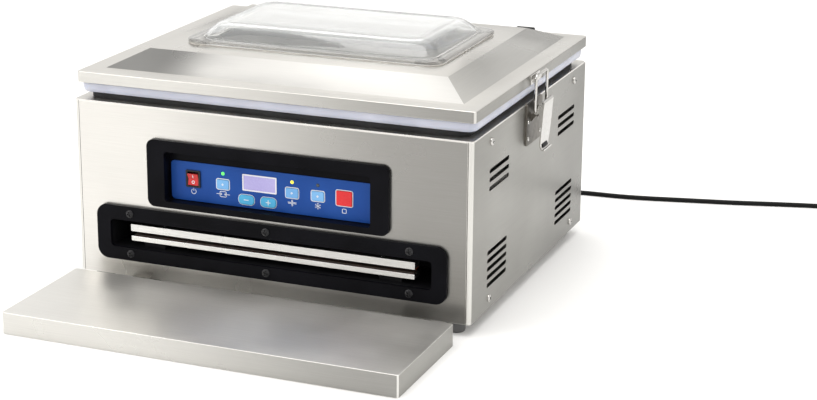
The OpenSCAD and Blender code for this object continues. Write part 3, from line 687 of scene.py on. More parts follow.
def milky_silicone():
    material, tree, shader, place = new_material("milky silicone")
    skin = use_group(tree, SKIN, Position=place, Fineness=700)
    tone = blend_colours(tree, skin.outputs["Tone"], (0.46, 0.475, 0.56), (0.54, 0.555, 0.64))
    join(tree, tone, shader.inputs["Base Color"])
    join(tree, remap(tree, skin.outputs["Pebbles"], 0.3, 0.7, 0.3, 0.42), shader.inputs["Roughness"])
    shader.inputs["Subsurface Weight"].default_value = 0.6
    shader.inputs["Subsurface Radius"].default_value = (0.004, 0.005, 0.006)
    shader.inputs["Subsurface Scale"].default_value = 1
    bump(tree, skin.outputs["Pebbles"], 0.00003, 0.4, shader)
    return material


def shaded_woven_tape():
    material, tree, shader, place = new_material("woven tape with painted shade")
    weave = add(tree, "ShaderNodeTexChecker")
    join(tree, place, weave.inputs["Vector"])
    weave.inputs["Scale"].default_value = 1600
    # The threads are near black, darker than such tape, as painted shade in the gap between the bars.
    threads_with_painted_shade = blend_colours(tree, weave.outputs["Fac"], (0.03, 0.024, 0.018), (0.055, 0.044, 0.034))
    join(tree, threads_with_painted_shade, shader.inputs["Base Color"])
    shader.inputs["Roughness"].default_value = 0.5
    bump(tree, weave.outputs["Fac"], 0.00005, 0.6, shader)
    return material


acrylic = clear_acrylic()
silicone = milky_silicone()
tape = shaded_woven_tape()
print("finishes", len(bpy.data.materials))

# %% [markdown]
# ## Sheet metal
# The housing is folded from thin stainless sheet. The engineered panels already
# have their bends, vents and holes, so each gets a copy with softened edges.
# The grain runs across the front, the deck, the lid and the tray, and from front to back on the sides. Some
# faces get lighter or darker copies of the steel as painted light and shade: the lid's front slope, right
# slope, front edge and ends, the tray's front edge and ends, the housing's sides and its corner bends.

# %% Housing, lid and tray
softened("front_panel", 0.35 * MM, steel_front_shaded)
for node in ("rear_panel", "base_pan", "chamber_tub"):
    softened(node, 0.35 * MM, steel_across)
softened("top_deck", 0.5 * MM, steel_across)
for node in ("side_panel_left", "side_panel_right"):
    panel = softened(node, 0.35 * MM, steel_back_shaded)
    # The bend faces get a full light tone as a painted highlight, and the front faces the front's painted
    # shade.
    reface(panel, steel_bend_highlight, lambda normal, at: normal.y < -0.25 and abs(normal.x) > 0.05)
    reface(panel, steel_front_shaded, lambda normal, at: normal.y < -0.998)
lid = softened("lid_shell", 1.1 * MM, steel_across, segments=3)
# The lid's slopes, front edge and ends get the lighter and darker copies of the steel: painted light and
# shade.
reface(lid, steel_slope_lit, lambda normal, at: normal.y < -0.2 and normal.z > 0.5 and at.z > 0.2235)
reface(lid, steel_side_shaded, lambda normal, at: normal.x > 0.15 and normal.z > 0.5 and at.z > 0.2235)
reface(lid, steel_edge_shaded, lambda normal, at: normal.y < -0.9)
reface(lid, steel_back_shaded, lambda normal, at: abs(normal.x) > 0.9)
softened("lid_liner", 0.4 * MM, steel_across)
tray = softened("tray", 1.2 * MM, steel_tray_lit, segments=3)
# The tray's front edge and ends get the darker copies of the steel: painted shade.
reface(tray, steel_edge_shaded, lambda normal, at: normal.y < -0.9)
reface(tray, steel_back_shaded, lambda normal, at: abs(normal.x) > 0.9)
softened("tray_rails", 0.4 * MM, steel_back_shaded)
print("sheet metal done")

# %% [markdown]
# ## Black mouldings and the sealing slot
# Both bezels are moulded in black plastic with generous edges. Behind the lower one two bright aluminium bars
# face each other across the gap where the bag's mouth goes in; the upper carries a silicone strip and the
# lower the tape. The rods above the upper bar and the legs below the lower one are coloured black: painted
# shade inside the slot.

# %% Bezels and slot
for node, width, finish, segments in (
    ("panel_bezel", 1.3, black_plastic, 4), ("slot_bezel", 1.3, black_plastic, 4),
    ("panel_backplate", 0.2, black_plastic, 2), ("slot_liner", 0.4, black_coat, 2),
    ("rail_guides", 0.5, black_plastic, 2),
):
    softened(node, width * MM, finish, segments=segments)
upper_bar = softened("upper_seal_bar", 0.7 * MM, aluminium, segments=3)
lower_bar = softened("lower_seal_bar", 0.7 * MM, aluminium, segments=3)
bar_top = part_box("silicone_strip")[0].z + 7.7 * MM
bar_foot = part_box("heating_strip")[0].z - 5.7 * MM
# The rods above the upper bar and the legs under the lower bar get the black finish as painted shade inside
# the slot.
reface(upper_bar, black_coat, lambda normal, at: at.z > bar_top)
reface(lower_bar, black_coat, lambda normal, at: at.z < bar_foot)
softened("silicone_strip", 0.12 * MM, silicone_red)
softened("heating_strip", 0.1 * MM, tape)
softened("jaw_actuators", 0.6 * MM, aluminium)
print("slot done")

# %% [markdown]
# ## Key panel
# The panel is a printed blue film with cut-outs. Keys, lamps and the display
# stand in them. The white marks are print: thin flat shapes a tenth of a
# millimetre thick, drawn with strokes, rings and rounded frames. They are plain
# pictograms: on and off, a bag drawn together, two jaws, a snowflake and a stop.

# %% Keys and lamps
softened("membrane_panel", 0.12 * MM, blue_film)
softened("display_frame", 0.12 * MM, frame_white)
softened("display_window", 0.15 * MM, lens_lavender)
softened("switch_frame", 0.3 * MM, black_gloss)
rocker = softened("power_rocker", 0.3 * MM, rocker_red)
ROCKER_HALF, AXLE_THINNING = 5.75 * MM, 0.12
rocker_x = middle("power_rocker").x
axle_ends = [v for v in rocker.data.vertices if abs(v.co.x - rocker_x) > ROCKER_HALF]
axis = sum((v.co for v in axle_ends), Vector()) / len(axle_ends)
for v in axle_ends:  # a little thinner, so that its facets clear the hole's when it turns
    v.co.y += (axis.y - v.co.y) * AXLE_THINNING
    v.co.z += (axis.z - v.co.z) * AXLE_THINNING
for node in ("button_vacuum", "button_seal", "button_cool"):
    softened(node, 0.45 * MM, key_blue, segments=3)
for node in ("button_minus", "button_plus"):
    softened(node, 0.45 * MM, key_cyan, segments=3)
softened("button_stop", 0.45 * MM, key_red, segments=3)
softened("control_board", 0.2 * MM, board_green)
for node, finish in (("led_vacuum", lamp_green), ("led_seal", lamp_yellow), ("led_cool", lamp_dark)):
    low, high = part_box(node)
    centre = (low + high) / 2
    radius = (high.x - low.x) / 2
    profile = [
        (radius, high.y - low.y), (radius, 0.6 * MM), (radius * 0.92, 0.3 * MM),
        (radius * 0.7, 0.1 * MM), (radius * 0.35, 0.02 * MM), (0, 0),
    ]
    verts, faces = turned(profile, (centre.x, low.y, centre.z), (0, 1, 0), 28)
    lamp = new_piece(node + "_finished", verts, faces, finish, "housing", 60)
    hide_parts(node)
print("keys done")

# %% Printed marks
PRINT_THICK = 0.1 * MM
print_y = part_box("membrane_panel")[0].y


class Marks:
    """Flat white shapes in X and Z, all gathered into one thin mesh."""

    def __init__(self, y):
        self.y = y
        self.verts = []
        self.faces = []

    def band(self, outer, inner):
        """The strip between two closed or open lines of equal length."""
        front = [(x, self.y - PRINT_THICK, z) for x, z in [*outer, *inner]]
        back = [(x, self.y, z) for x, z in [*outer, *inner]]
        base, n = len(self.verts), len(outer)
        self.verts += front + back
        whole = outer[0] == outer[-1]
        last = n - 1
        for k in range(last):
            a, b, c, d = k, k + 1, n + k + 1, n + k
            self.faces += [
                tuple(base + i for i in (a, b, c, d)),
                tuple(base + 2 * n + i for i in (d, c, b, a)),
                (base + a, base + 2 * n + a, base + 2 * n + b, base + b),
                (base + d, base + c, base + 2 * n + c, base + 2 * n + d),
            ]
        if not whole:
            for a, b in ((0, n), (2 * n - 1, n - 1)):
                self.faces.append((base + a, base + b, base + 2 * n + b, base + 2 * n + a))

    def ring(self, centre, radius, width, start=0, end=360, steps=24):
        """Part or all of a ring."""
        angles = [math.radians(start + (end - start) * k / steps) for k in range(steps + 1)]
        lines = []
        for r in (radius + width / 2, radius - width / 2):
            line = [(centre[0] + r * math.cos(a), centre[1] + r * math.sin(a)) for a in angles]
            if end - start == 360:
                line[-1] = line[0]
            lines.append(line)
        self.band(*lines)

    def stroke(self, a, b, width):
        """A straight stroke from a to b."""
        a, b = Vector(a), Vector(b)
        side = Vector((-(b - a).y, (b - a).x)).normalized() * width / 2
        self.band([tuple(a + side), tuple(b + side)], [tuple(a - side), tuple(b - side)])

    def frame(self, centre, width, height, radius, thick):
        """A rounded rectangular outline."""
        lines = []
        for grow in (thick, 0):
            ring = rounded_ring(centre, width + 2 * grow, height + 2 * grow, radius + grow, 0, 5)
            line = [(x, y) for x, y, _ in ring]
            lines.append([*line, line[0]])
        self.band(*lines)

    def arrow(self, tip, direction, size, width):
        """A two-stroke arrow head."""
        tip, direction = Vector(tip), Vector(direction).normalized()
        side = Vector((-direction.y, direction.x))
        for way in (-1, 1):
            self.stroke(tip, tip - direction * size + side * way * size * 0.75, width)

    def piece(self, name, material, body):
        return new_piece(name, self.verts, self.faces, material, body, 20)


marks = Marks(print_y)
LINE = 0.55 * MM
DROP = 9.2 * MM


def below(node, drop=DROP):
    """The place of a mark under a control."""
    spot = middle(node)
    return Vector((spot.x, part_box(node)[0].z - drop / 2.1))


FLANGES = 1.4 * MM
for key, corner, line in (
    ("vacuum", 1.6, 0.75), ("seal", 1.6, 0.75), ("cool", 1.6, 0.75), ("stop", 1.6, 0.75),
    ("minus", 4.2, 0.45), ("plus", 4.2, 0.45),
):
    low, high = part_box("button_" + key)
    centre = ((low.x + high.x) / 2, (low.z + high.z) / 2)
    marks.frame(centre, high.x - low.x - FLANGES, high.z - low.z - FLANGES, corner * MM, line * MM)

power = below("switch_frame")
marks.ring(power, 2.6 * MM, 0.55 * MM, 125, 415)
marks.stroke(power + Vector((0, 0.6 * MM)), power + Vector((0, 3.4 * MM)), 0.55 * MM)

bag = below("button_vacuum")
marks.frame(bag, 6.5 * MM, 5 * MM, 0.8 * MM, LINE)
for way in (-1, 1):
    marks.stroke(bag + Vector((way * 7.4 * MM, 0)), bag + Vector((way * 1.6 * MM, 0)), LINE)
    marks.arrow(bag + Vector((way * 1.3 * MM, 0)), (-way, 0), 1.4 * MM, LINE)

jaws = below("button_seal")
for way in (-1, 1):
    lip = jaws + Vector((0, way * 0.55 * MM))
    marks.stroke(lip - Vector((4.6 * MM, 0)), lip + Vector((4.6 * MM, 0)), LINE)
    marks.stroke(jaws + Vector((0, way * 3.5 * MM)), jaws + Vector((0, way * 1.2 * MM)), LINE)
    marks.arrow(jaws + Vector((0, way * 1.1 * MM)), (0, -way), 1.3 * MM, LINE)

flake = below("button_cool")
for k in range(3):
    arm = Vector((math.cos(math.radians(30 + 60 * k)), math.sin(math.radians(30 + 60 * k)))) * 3.1 * MM
    marks.stroke(flake - arm, flake + arm, LINE)
    for way in (-1, 1):
        marks.arrow(flake + arm * way * 0.62, -arm * way, 1.0 * MM, 0.3 * MM)

halt = below("button_stop")
marks.frame(halt, 3.6 * MM, 3.6 * MM, 0.4 * MM, 0.55 * MM)

panel_print = marks.piece("panel_print", print_white, "housing")
print("print faces", len(panel_print.data.polygons))

# %% Marks on the keys
def key_marks(node, body, draw):
    """A small white mark on the face of a key, moving with it."""
    spot = middle(node)
    own = Marks(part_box(node)[0].y)
    draw(own, Vector((spot.x, spot.z)))
    made = own.piece(node + "_mark", print_white, body)


def minus_sign(own, at):
    own.stroke(at + Vector((-2.6 * MM, 0)), at + Vector((2.6 * MM, 0)), 0.8 * MM)


def plus_sign(own, at):
    minus_sign(own, at)
    for way in (-1, 1):
        own.stroke(at + Vector((0, way * 2.6 * MM)), at + Vector((0, way * 0.4 * MM)), 0.8 * MM)


def dot_mark(own, at):
    own.ring(at, 0.7 * MM, 0.7 * MM)


key_marks("button_minus", "key_minus", minus_sign)
key_marks("button_plus", "key_plus", plus_sign)
for name in ("vacuum", "seal", "cool"):
    key_marks("button_" + name, "key_" + name, dot_mark)


def rocker_marks():
    """I and O on the two leaning faces of the rocker."""
    low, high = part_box("power_rocker")
    x = (low.x + high.x) / 2
    ridge_y, ridge_z = low.y + 2.45 * MM, high.z - 5.92 * MM
    own = Marks(0)
    own.stroke((x, high.z - 4.6 * MM), (x, high.z - 1.5 * MM), 0.8 * MM)
    own.ring((x, ridge_z - 3.1 * MM), 1.35 * MM, 0.65 * MM)
    for k, (vx, vy, vz) in enumerate(own.verts):
        rise = vz - ridge_z
        lean = -0.4135 * rise if rise > 0 else 0.1133 * rise
        own.verts[k] = (vx, ridge_y + lean + vy, vz)
    made = own.piece("power_rocker_mark", print_white, "rocker")


rocker_marks()
print("key marks done")

# %% [markdown]
# ## The clear window
# The window is one sheet of acrylic, heated and drawn into a shallow dome with a
# flat flange. Its section is what makes it look real: a sharp flange edge, a
# small flare, a straight slope, a round shoulder and a top that is very
# slightly sunk inside its rim. The loft walks that section from the middle of
# the ceiling, out under the flange and back over the top.

# %% Clear window
def draw_window():
    low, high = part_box("lid_window")
    centre = ((low.x + high.x) / 2, (low.y + high.y) / 2)
    width, depth = high.x - low.x, high.y - low.y
    rise = (high.z - low.z) / 18.2
    inner = [
        (40, 14.9), (35, 15.2), (31, 15.3), (28, 14.8), (24.5, 12.6), (20.5, 8.8),
        (16, 4.6), (14, 2), (13, 0),
    ]
    outer = [
        (0.3, 0), (0, 0.3), (0, 2.5), (0.5, 3), (7.5, 3), (9.5, 3.3), (11.5, 4.5), (14, 7), (17.5, 10.8),
        (21, 14), (24, 16.2), (27, 17.6), (30, 18.2), (32.5, 18.0), (34.5, 17.5), (40, 17.4),
    ]
    rings = []
    for inset, height in inner + outer:
        radius = max(19 - inset * 0.28, 7) * MM if inset < 8 else max(26 - inset * 0.35, 8) * MM
        rings.append(rounded_ring(
            centre, width - 2 * inset * MM, depth - 2 * inset * MM, radius, low.z + height * rise, 10
        ))
    verts, faces = loft(rings)
    return new_piece("window_dome", verts, faces, acrylic, "lid", 50)


window = draw_window()
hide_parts("lid_window")
softened("window_seal", 0.25 * MM, seal_grey)
print("window faces", len(window.data.polygons))

# %% [markdown]
# ## The gasket
# The gasket is an extruded ring of milky silicone. Its section bulges outwards
# and has a soft rounded lip below, where it meets the chamber's rim. Both the
# section and the path are closed, so the loft is joined end to end.

# %% Gasket
def draw_gasket():
    low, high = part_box("lid_gasket")
    centre = ((low.x + high.x) / 2, (low.y + high.y) / 2)
    width, depth, tall = high.x - low.x, high.y - low.y, high.z - low.z
    section = [
        (0.5, 1), (0.1, 0.9), (0, 0.6), (0.2, 0.3), (0.8, 0.0), (1.6, -0.12), (3, -0.15), (5.5, -0.1),
        (7, 0), (8.4, 0.08), (10, 0), (12, 0.08), (13.6, 0.3), (14, 0.6), (13.6, 0.9), (12.8, 1),
    ]
    rings = [
        rounded_ring(
            centre, width - 2 * inset * MM, depth - 2 * inset * MM,
            max(11 - inset * 0.4, 4) * MM, low.z + share * tall, 10,
        )
        for inset, share in section
    ]
    verts, faces = loft(rings, closed=True)
    return new_piece("gasket_ring", verts, faces, silicone, "lid", 70)


def draw_rim_painted_shade():
    """A near-black band round the chamber's raised rim, under the gasket: painted shade in the gap between
    the gasket and the deck.
    """
    low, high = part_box("chamber_tub")
    centre = ((low.x + high.x) / 2, (low.y + high.y) / 2)
    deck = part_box("top_deck")[1].z
    rings = [
        rounded_ring(
            centre, high.x - low.x + 2 * out * MM, high.y - low.y + 2 * out * MM, (12 + out) * MM, z, 10
        )
        for out, z in (
            (0, deck), (1.1, deck), (1.5, deck + 0.6 * MM),
            (1.5, high.z - 0.9 * MM), (1.1, high.z - 0.3 * MM), (0, high.z - 0.2 * MM),
        )
    ]
    verts, faces = loft(rings, closed=True)
    return new_piece("rim_trim", verts, faces, dark_rubber, "housing", 50)


gasket = draw_gasket()
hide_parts("lid_gasket")
# The near-black band round the rim is painted shade under the gasket.
rim_shade_piece = draw_rim_painted_shade()
print("gasket faces", len(gasket.data.polygons))

# %% [markdown]
# ## Screws, rivets and feet
# These repeat, so one Geometry Nodes tree makes them all. It takes points, the
# piece to put on them, its size, the way it faces and a fixed seed that spins
# each one by its own amount, as screws end up when they are tightened by hand.

# %% A tree that sets copies on points
def copies_tree():
    tree = bpy.data.node_groups.new("Copies on points", "GeometryNodeTree")
    for label, kind in (
        ("Points", "NodeSocketGeometry"), ("Piece", "NodeSocketObject"), ("Size", "NodeSocketFloat"),
        ("Facing", "NodeSocketRotation"), ("Spin", "NodeSocketFloat"), ("Seed", "NodeSocketInt"),
        ("Material", "NodeSocketMaterial"),
    ):
        tree.interface.new_socket(label, in_out="INPUT", socket_type=kind)
    tree.interface.new_socket("Geometry", in_out="OUTPUT", socket_type="NodeSocketGeometry")
    given, out = add(tree, "NodeGroupInput"), add(tree, "NodeGroupOutput")
    piece = add(tree, "GeometryNodeObjectInfo")
    join(tree, given.outputs["Piece"], piece.inputs["Object"])
    spin = add(tree, "FunctionNodeRandomValue", data_type="FLOAT")
    join(tree, given.outputs["Spin"], spin.inputs[3])
    join(tree, given.outputs["Seed"], spin.inputs["Seed"])
    about = add(tree, "FunctionNodeAxisAngleToRotation")
    about.inputs["Axis"].default_value = (0, 0, 1)
    join(tree, spin.outputs[1], about.inputs["Angle"])
    both = add(tree, "FunctionNodeRotateRotation", rotation_space="LOCAL")
    join(tree, given.outputs["Facing"], both.inputs["Rotation"])
    join(tree, about.outputs["Rotation"], both.inputs["Rotate By"])
    place = add(tree, "GeometryNodeInstanceOnPoints")
    join(tree, given.outputs["Points"], place.inputs["Points"])
    join(tree, piece.outputs["Geometry"], place.inputs["Instance"])
    join(tree, both.outputs["Rotation"], place.inputs["Rotation"])
    join(tree, given.outputs["Size"], place.inputs["Scale"])
    real = add(tree, "GeometryNodeRealizeInstances")
    join(tree, place.outputs["Instances"], real.inputs["Geometry"])
    finish = add(tree, "GeometryNodeSetMaterial")
    join(tree, real.outputs["Geometry"], finish.inputs["Geometry"])
    join(tree, given.outputs["Material"], finish.inputs["Material"])
    join(tree, finish.outputs["Geometry"], out.inputs["Geometry"])
    return tree


COPIES = copies_tree()


def run_tree(tree, source, values):
    """Runs a geometry tree on a mesh and gives back the plain mesh it makes."""
    holder = place_object("points", source)
    modifier = holder.modifiers.new("copies", "NODES")
    modifier.node_group = tree
    for item in tree.interface.items_tree:
        if item.item_type == "SOCKET" and item.in_out == "INPUT" and item.name in values:
            modifier[item.identifier] = values[item.name]
    holder.update_tag()
    bpy.context.view_layer.update()
    mesh = evaluated_mesh(holder)
    bpy.data.objects.remove(holder)
    return mesh


def set_copies(name, piece, places, facing, material, body, size=1.0, spin=0.0, seed=1, smooth_angle=35):
    """Copies of a piece at places, as one plain mesh on one body."""
    points = bpy.data.meshes.new(name + "_points")
    points.from_pydata([tuple(p) for p in places], [], [])
    mesh = run_tree(COPIES, points, {
        "Piece": piece, "Size": size, "Facing": facing, "Spin": spin, "Seed": seed, "Material": material,
    })
    return finish_piece(name, mesh, material, body, smooth_angle)


def pattern_piece(name, verts, faces):
    """A piece that is only copied, kept out of the picture."""
    return place_object(name, closed_mesh(name, verts, faces))


patterns = []
print("copies tree has", len(COPIES.nodes), "nodes")

# %% A cross-headed screw
def cross_screw(name, radius, height, shank):
    """A pan-headed screw that faces +Z, with a cross cut into its head."""
    profile = [
        (0, -shank), (0.36 * radius, -shank), (0.36 * radius, 0), (radius, 0), (radius, 0.35 * height),
        (0.94 * radius, 0.62 * height), (0.78 * radius, 0.84 * height),
        (0.5 * radius, 0.97 * height), (0, height),
    ]
    head = pattern_piece(name, *turned(profile, (0, 0, 0), (0, 0, 1), 32))
    arm, half, floor = 0.6 * radius, 0.14 * radius, 0.2 * height
    outline = [
        (half, half), (half, arm), (-half, arm), (-half, half), (-arm, half), (-arm, -half),
        (-half, -half), (-half, -arm), (half, -arm), (half, -half), (arm, -half), (arm, half),
    ]
    rings = [[(x, y, z) for x, y in outline] for z in (floor, 2 * height)]
    cutter = pattern_piece(name + "_cut", *loft(rings))
    cut = head.modifiers.new("cross", "BOOLEAN")
    cut.object = cutter
    cut.operation = "DIFFERENCE"
    cut.solver = "EXACT"
    mesh = evaluated_mesh(head)
    head.modifiers.clear()
    head.data = mesh
    bpy.data.objects.remove(cutter)
    patterns.append(head)
    return head


FACE_FRONT = (math.radians(90), 0, 0)
FACE_RIGHT = (0, math.radians(90), 0)
FACE_LEFT = (0, math.radians(-90), 0)

low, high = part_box("bezel_screws")
bezel_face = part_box("slot_bezel")[0].y
black_screw = cross_screw("black_screw", 4.3 * MM, bezel_face - low.y, 6 * MM)
spots = [
    (x, bezel_face, z)
    for x in (low.x + 4.3 * MM, (low.x + high.x) / 2, high.x - 4.3 * MM)
    for z in (low.z + 4.3 * MM, high.z - 4.3 * MM)
]
screws = set_copies(
    "bezel_screws_finished", black_screw, spots, FACE_FRONT, black_gloss, "housing", spin=1.5, seed=4
)
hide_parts("bezel_screws")

low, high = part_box("side_screws")
head = high.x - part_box("side_panel_right")[1].x
steel_screw = cross_screw("steel_screw", 4 * MM, head, 8 * MM)
walls = {"left": (low.x + head, FACE_LEFT), "right": (high.x - head, FACE_RIGHT)}
for number, (side, (wall, facing)) in enumerate(walls.items()):
    spots = [
        (wall, y, z) for y in (low.y + 4 * MM, high.y - 4 * MM) for z in (low.z + 4 * MM, high.z - 4 * MM)
    ]
    screws = set_copies(
        "side_screws_" + side, steel_screw, spots, facing, polished, "housing", spin=1.5, seed=8 + number
    )
    # The floor of each screw's cross gets the black finish as painted shade in the recess.
    floor_x = abs(wall) + 0.2 * head
    reface(screws, black_coat, lambda normal, at: abs(abs(at.x) - floor_x) < 0.05 * MM)
    if side == "right":
        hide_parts("side_screws")
print("screws done")

# %% Feet
low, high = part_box("feet")
tall = high.z - low.z
foot_profile = [
    (0, 0), (7.4 * MM, 0), (8.4 * MM, 0.4 * MM), (8.9 * MM, 1.6 * MM), (9.3 * MM, 5 * MM),
    (9.9 * MM, tall - 3.2 * MM), (9.9 * MM, tall - 2.4 * MM), (8.8 * MM, tall - 2.2 * MM),
    (8.8 * MM, tall), (0, tall),
]
foot = pattern_piece("foot", *turned(foot_profile, (0, 0, 0), (0, 0, 1), 36))
patterns.append(foot)
inset = 10 * MM
spots = [(x, y, low.z) for x in (low.x + inset, high.x - inset) for y in (low.y + inset, high.y - inset)]
feet = set_copies("feet_finished", foot, spots, (0, 0, 0), grey_rubber, "housing")
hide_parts("feet")
print("feet done")

# %% [markdown]
# ## Draw latch
# The latch is pressed from plated strip. Its lever is a folded plate with a
# rolled top and a turned-out finger tip, swinging on a pin between two ears, and
# it pulls on a bail bent from round wire. The wire and the strip are swept along
# their own paths.

# %% Latch
softened("latch_base", 0.3 * MM, base_steel_shaded)
softened("keeper", 0.3 * MM, polished)
softened("latch_pin", 0.25 * MM, polished)
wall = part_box("side_panel_right")[1].x


def draw_bail():
    low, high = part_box("latch_bail")
    centre_y = (low.y + high.y) / 2
    half = (high.y - low.y) / 2 - 1.5 * MM
    top_x, top_z = high.x - 1.5 * MM, high.z - 1.5 * MM
    foot_x, foot_z = low.x + 1.5 * MM, low.z + 1.5 * MM
    ends = 11.8 * MM
    points = [
        (foot_x, centre_y - ends, foot_z), (foot_x, centre_y - half, foot_z), (top_x, centre_y - half, top_z),
        (top_x, centre_y + half, top_z), (foot_x, centre_y + half, foot_z), (foot_x, centre_y + ends, foot_z),
    ]
    verts, faces = swept_wire(with_round_corners(points, 4 * MM, 8), 1.5 * MM)
    return new_piece("bail_wire", verts, faces, polished, "bail", 60)


def draw_lever():
    """A strip rolled over at the top, straight down its back and turned out at the tip."""
    low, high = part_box("latch_lever")
    centre_y = (low.y + high.y) / 2
    half = (high.y - low.y) / 2
    roll_x, roll_z, roll = wall + 14.3 * MM, high.z - 2.1 * MM, 1.4 * MM
    curl = [
        Vector((roll_x + roll * math.cos(a), 0, roll_z + roll * math.sin(a)))
        for a in (math.radians(200 - 20 * k) for k in range(11))
    ]
    plate = [Vector((wall + x * MM, 0, high.z - z * MM)) for x, z in (
        (14.9, 9), (14.2, 20), (13.2, 32), (12.3, 42), (11.9, 46),
        (12.2, 48.6), (13.3, 50.6), (14.9, 51.6), (16.2, 51.4),
    )]
    verts, faces = swept_strip(curl + plate, 1.3 * MM, centre_y - half, centre_y + half)
    taper_from = high.z - 38 * MM
    for v in verts:
        if v.z < taper_from:
            v.y = centre_y + (v.y - centre_y) * (1 - 0.18 * (taper_from - v.z) / (15 * MM))
    return new_piece("lever_plate", verts, faces, polished, "lever", 45), centre_y, high.z


def draw_tip_pad(centre_y, top):
    """A dark grip pad let into the turned-out tip."""
    rings = []
    for out, half in ((0.0, 7.4), (0.5, 7.4), (0.75, 6.8)):
        rings.append([
            (wall + (x + out) * MM, centre_y + y * half * MM, top - z * MM)
            for x, z, y in ((12.5, 46.2, -1), (12.5, 46.2, 1), (13.7, 49.6, 1), (13.7, 49.6, -1))
        ])
    verts, faces = loft(rings)
    return new_piece("lever_pad", verts, faces, dark_rubber, "lever", 30)


def draw_cheeks(centre_y, top):
    """The two ears of the lever, from its back round the pin to the bail's eye."""
    outline = [
        (13.8, 3), (9.8, 3.4), (6.4, 6.2), (4.4, 10.5), (4.6, 13.6), (7.2, 14.8),
        (10, 13.8), (13.2, 17), (14, 12),
    ]
    verts, faces = [], []
    for way in (-1, 1):
        rings = [
            [(wall + x * MM, centre_y + way * y * MM, top - z * MM) for x, z in outline] for y in (11.4, 12.9)
        ]
        more_verts, more_faces = loft(rings)
        base = len(verts)
        verts += more_verts
        faces += [tuple(base + i for i in f) for f in more_faces]
    return new_piece("lever_cheeks", verts, faces, polished, "lever", 30)


bail = draw_bail()
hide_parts("latch_bail")
lever, lever_y, lever_top = draw_lever()
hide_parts("latch_lever")
for part in (lever, draw_cheeks(lever_y, lever_top)):
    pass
draw_tip_pad(lever_y, lever_top)

rivet = pattern_piece("rivet", *turned(
    [(0, 0), (2.4 * MM, 0), (2.3 * MM, 0.5 * MM), (1.7 * MM, 1.0 * MM), (0.8 * MM, 1.2 * MM), (0, 1.25 * MM)],
    (0, 0, 0), (0, 0, 1), 24,
))
patterns.append(rivet)
low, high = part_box("latch_base")
spots = [
    (wall + 1.5 * MM, y, z)
    for y in (low.y + 6 * MM, high.y - 6 * MM) for z in (low.z + 7 * MM, low.z + 24 * MM)
]
rivets = set_copies("latch_rivets", rivet, spots, FACE_RIGHT, polished, "housing")
print("latch done")

# %% [markdown]
# ## Hinges
# Two black coated hinges carry the lid at the back. Their brackets, arms and
# pins are engineered parts with softened edges.

# %% Hinges
softened("hinge_brackets", 0.5 * MM, black_coat)
softened("hinge_arms", 0.9 * MM, black_coat, segments=3)
softened("hinge_pins", 0.4 * MM, polished)
print("hinges done")

# %% [markdown]
# ## Inside
# Little of the inside shows, through the vents and with the lid up, but what
# shows should be right: a painted pump casting, a transformer with its stack of
# thin plates, and a rubber hose to the chamber.

# %% Pump, transformer and hose
softened("vacuum_pump", 1.5 * MM, casting, segments=3)
softened("transformer", 0.8 * MM, lamination)
softened("vacuum_hose", 0.6 * MM, dark_rubber)
print("inside done")

# %% [markdown]
# ## The mains lead, its gland and its plug
# The lead is one open curve with a round bevel, so that its length is exactly
# the length of its line. The gland is a threaded nut with a tapered, ribbed
# strain relief; the plug is a moulded grip with three pins. A soft strap holds
# the coil.

# %% Lead
curve = bpy.data.curves.new("mains_lead", "CURVE")
curve.dimensions = "3D"
curve.bevel_depth = CORD_RADIUS
curve.bevel_resolution = 4
curve.resolution_u = 3
curve.use_fill_caps = True
line = curve.splines.new("NURBS")
line.points.add(len(cord_points) - 1)
for spot, point in zip(line.points, cord_points):
    spot.co = (*point, 1)
line.use_endpoint_u = True
line.order_u = 4
curve.materials.append(cord_rubber)
lead = place_object("mains_lead", curve)
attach(lead, "housing")
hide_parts("mains_cord", "cord_coil")
length = sum((b - a).length for a, b in zip(cord_points, cord_points[1:]))
print("length of the lead's points", round(length, 3), "m")

# %% Gland, plug and strap
low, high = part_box("cord_gland")
gland_x, gland_z = (low.x + high.x) / 2, (low.z + high.z) / 2
rear_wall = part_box("rear_panel")[1].y
reach = high.y - rear_wall
gland_profile = [
    (10.4, -5.4), (10.9, -5), (10.9, -1.6), (8, -1.5), (8, 0), (10.6, 0), (11, 0.5), (11, 5.2), (10.2, 6),
    (7.6, 6.2), (5.9, 7),
]
steps = 5
for k in range(steps):
    along = 8 + k * 2.6
    radius = 5.9 - 0.42 * k
    gland_profile += [
        (radius, along), (radius, along + 1.4), (radius - 0.8, along + 1.6), (radius - 0.85, along + 2.4),
    ]
gland_profile += [(3.6, reach / MM - 0.6), (3.2, reach / MM)]
gland_profile = [(r * MM, a * MM) for r, a in gland_profile]
verts, faces = turned(gland_profile, (gland_x, rear_wall, gland_z), (0, 1, 0), 40)
gland = new_piece("gland_finished", verts, faces, black_plastic, "housing", 35)
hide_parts("cord_gland")

plug = softened("plug", 1.6 * MM, cord_rubber, segments=3)


def draw_strap():
    """A soft strap round the coil, on its left side."""
    spot = (COIL_CENTRE + Vector((-30.6, 0, 8))) * MM
    half_w, half_h, thick = 6.2 * MM, 8.6 * MM, 0.8 * MM
    rings = []
    for grow, y in ((0, -5), (thick, -5), (thick, 5), (0, 5)):
        ring = rounded_ring((0, 0), 2 * (half_w + grow), 2 * (half_h + grow), 2.4 * MM + grow, 0, 5)
        rings.append([(spot.x + px, spot.y + y * MM, max(spot.z + pz, 0)) for px, pz, _ in ring])
    verts, faces = loft(rings, closed=True)
    return new_piece("coil_strap", verts, faces, dark_rubber, "housing", 40)


draw_strap()
print("gland and plug done")

# %% [markdown]
# ## Studio
# The floor and the background are plain and pale. Metal looks like what it
# reflects, so the lights are large soft panels: one above, one to the front
# left, a weak one to the right and one behind for the lid's front slope. The
# world round them is pale, in soft bands.

# %% Floor, world and lights
for pattern in patterns:
    bpy.data.objects.remove(pattern)

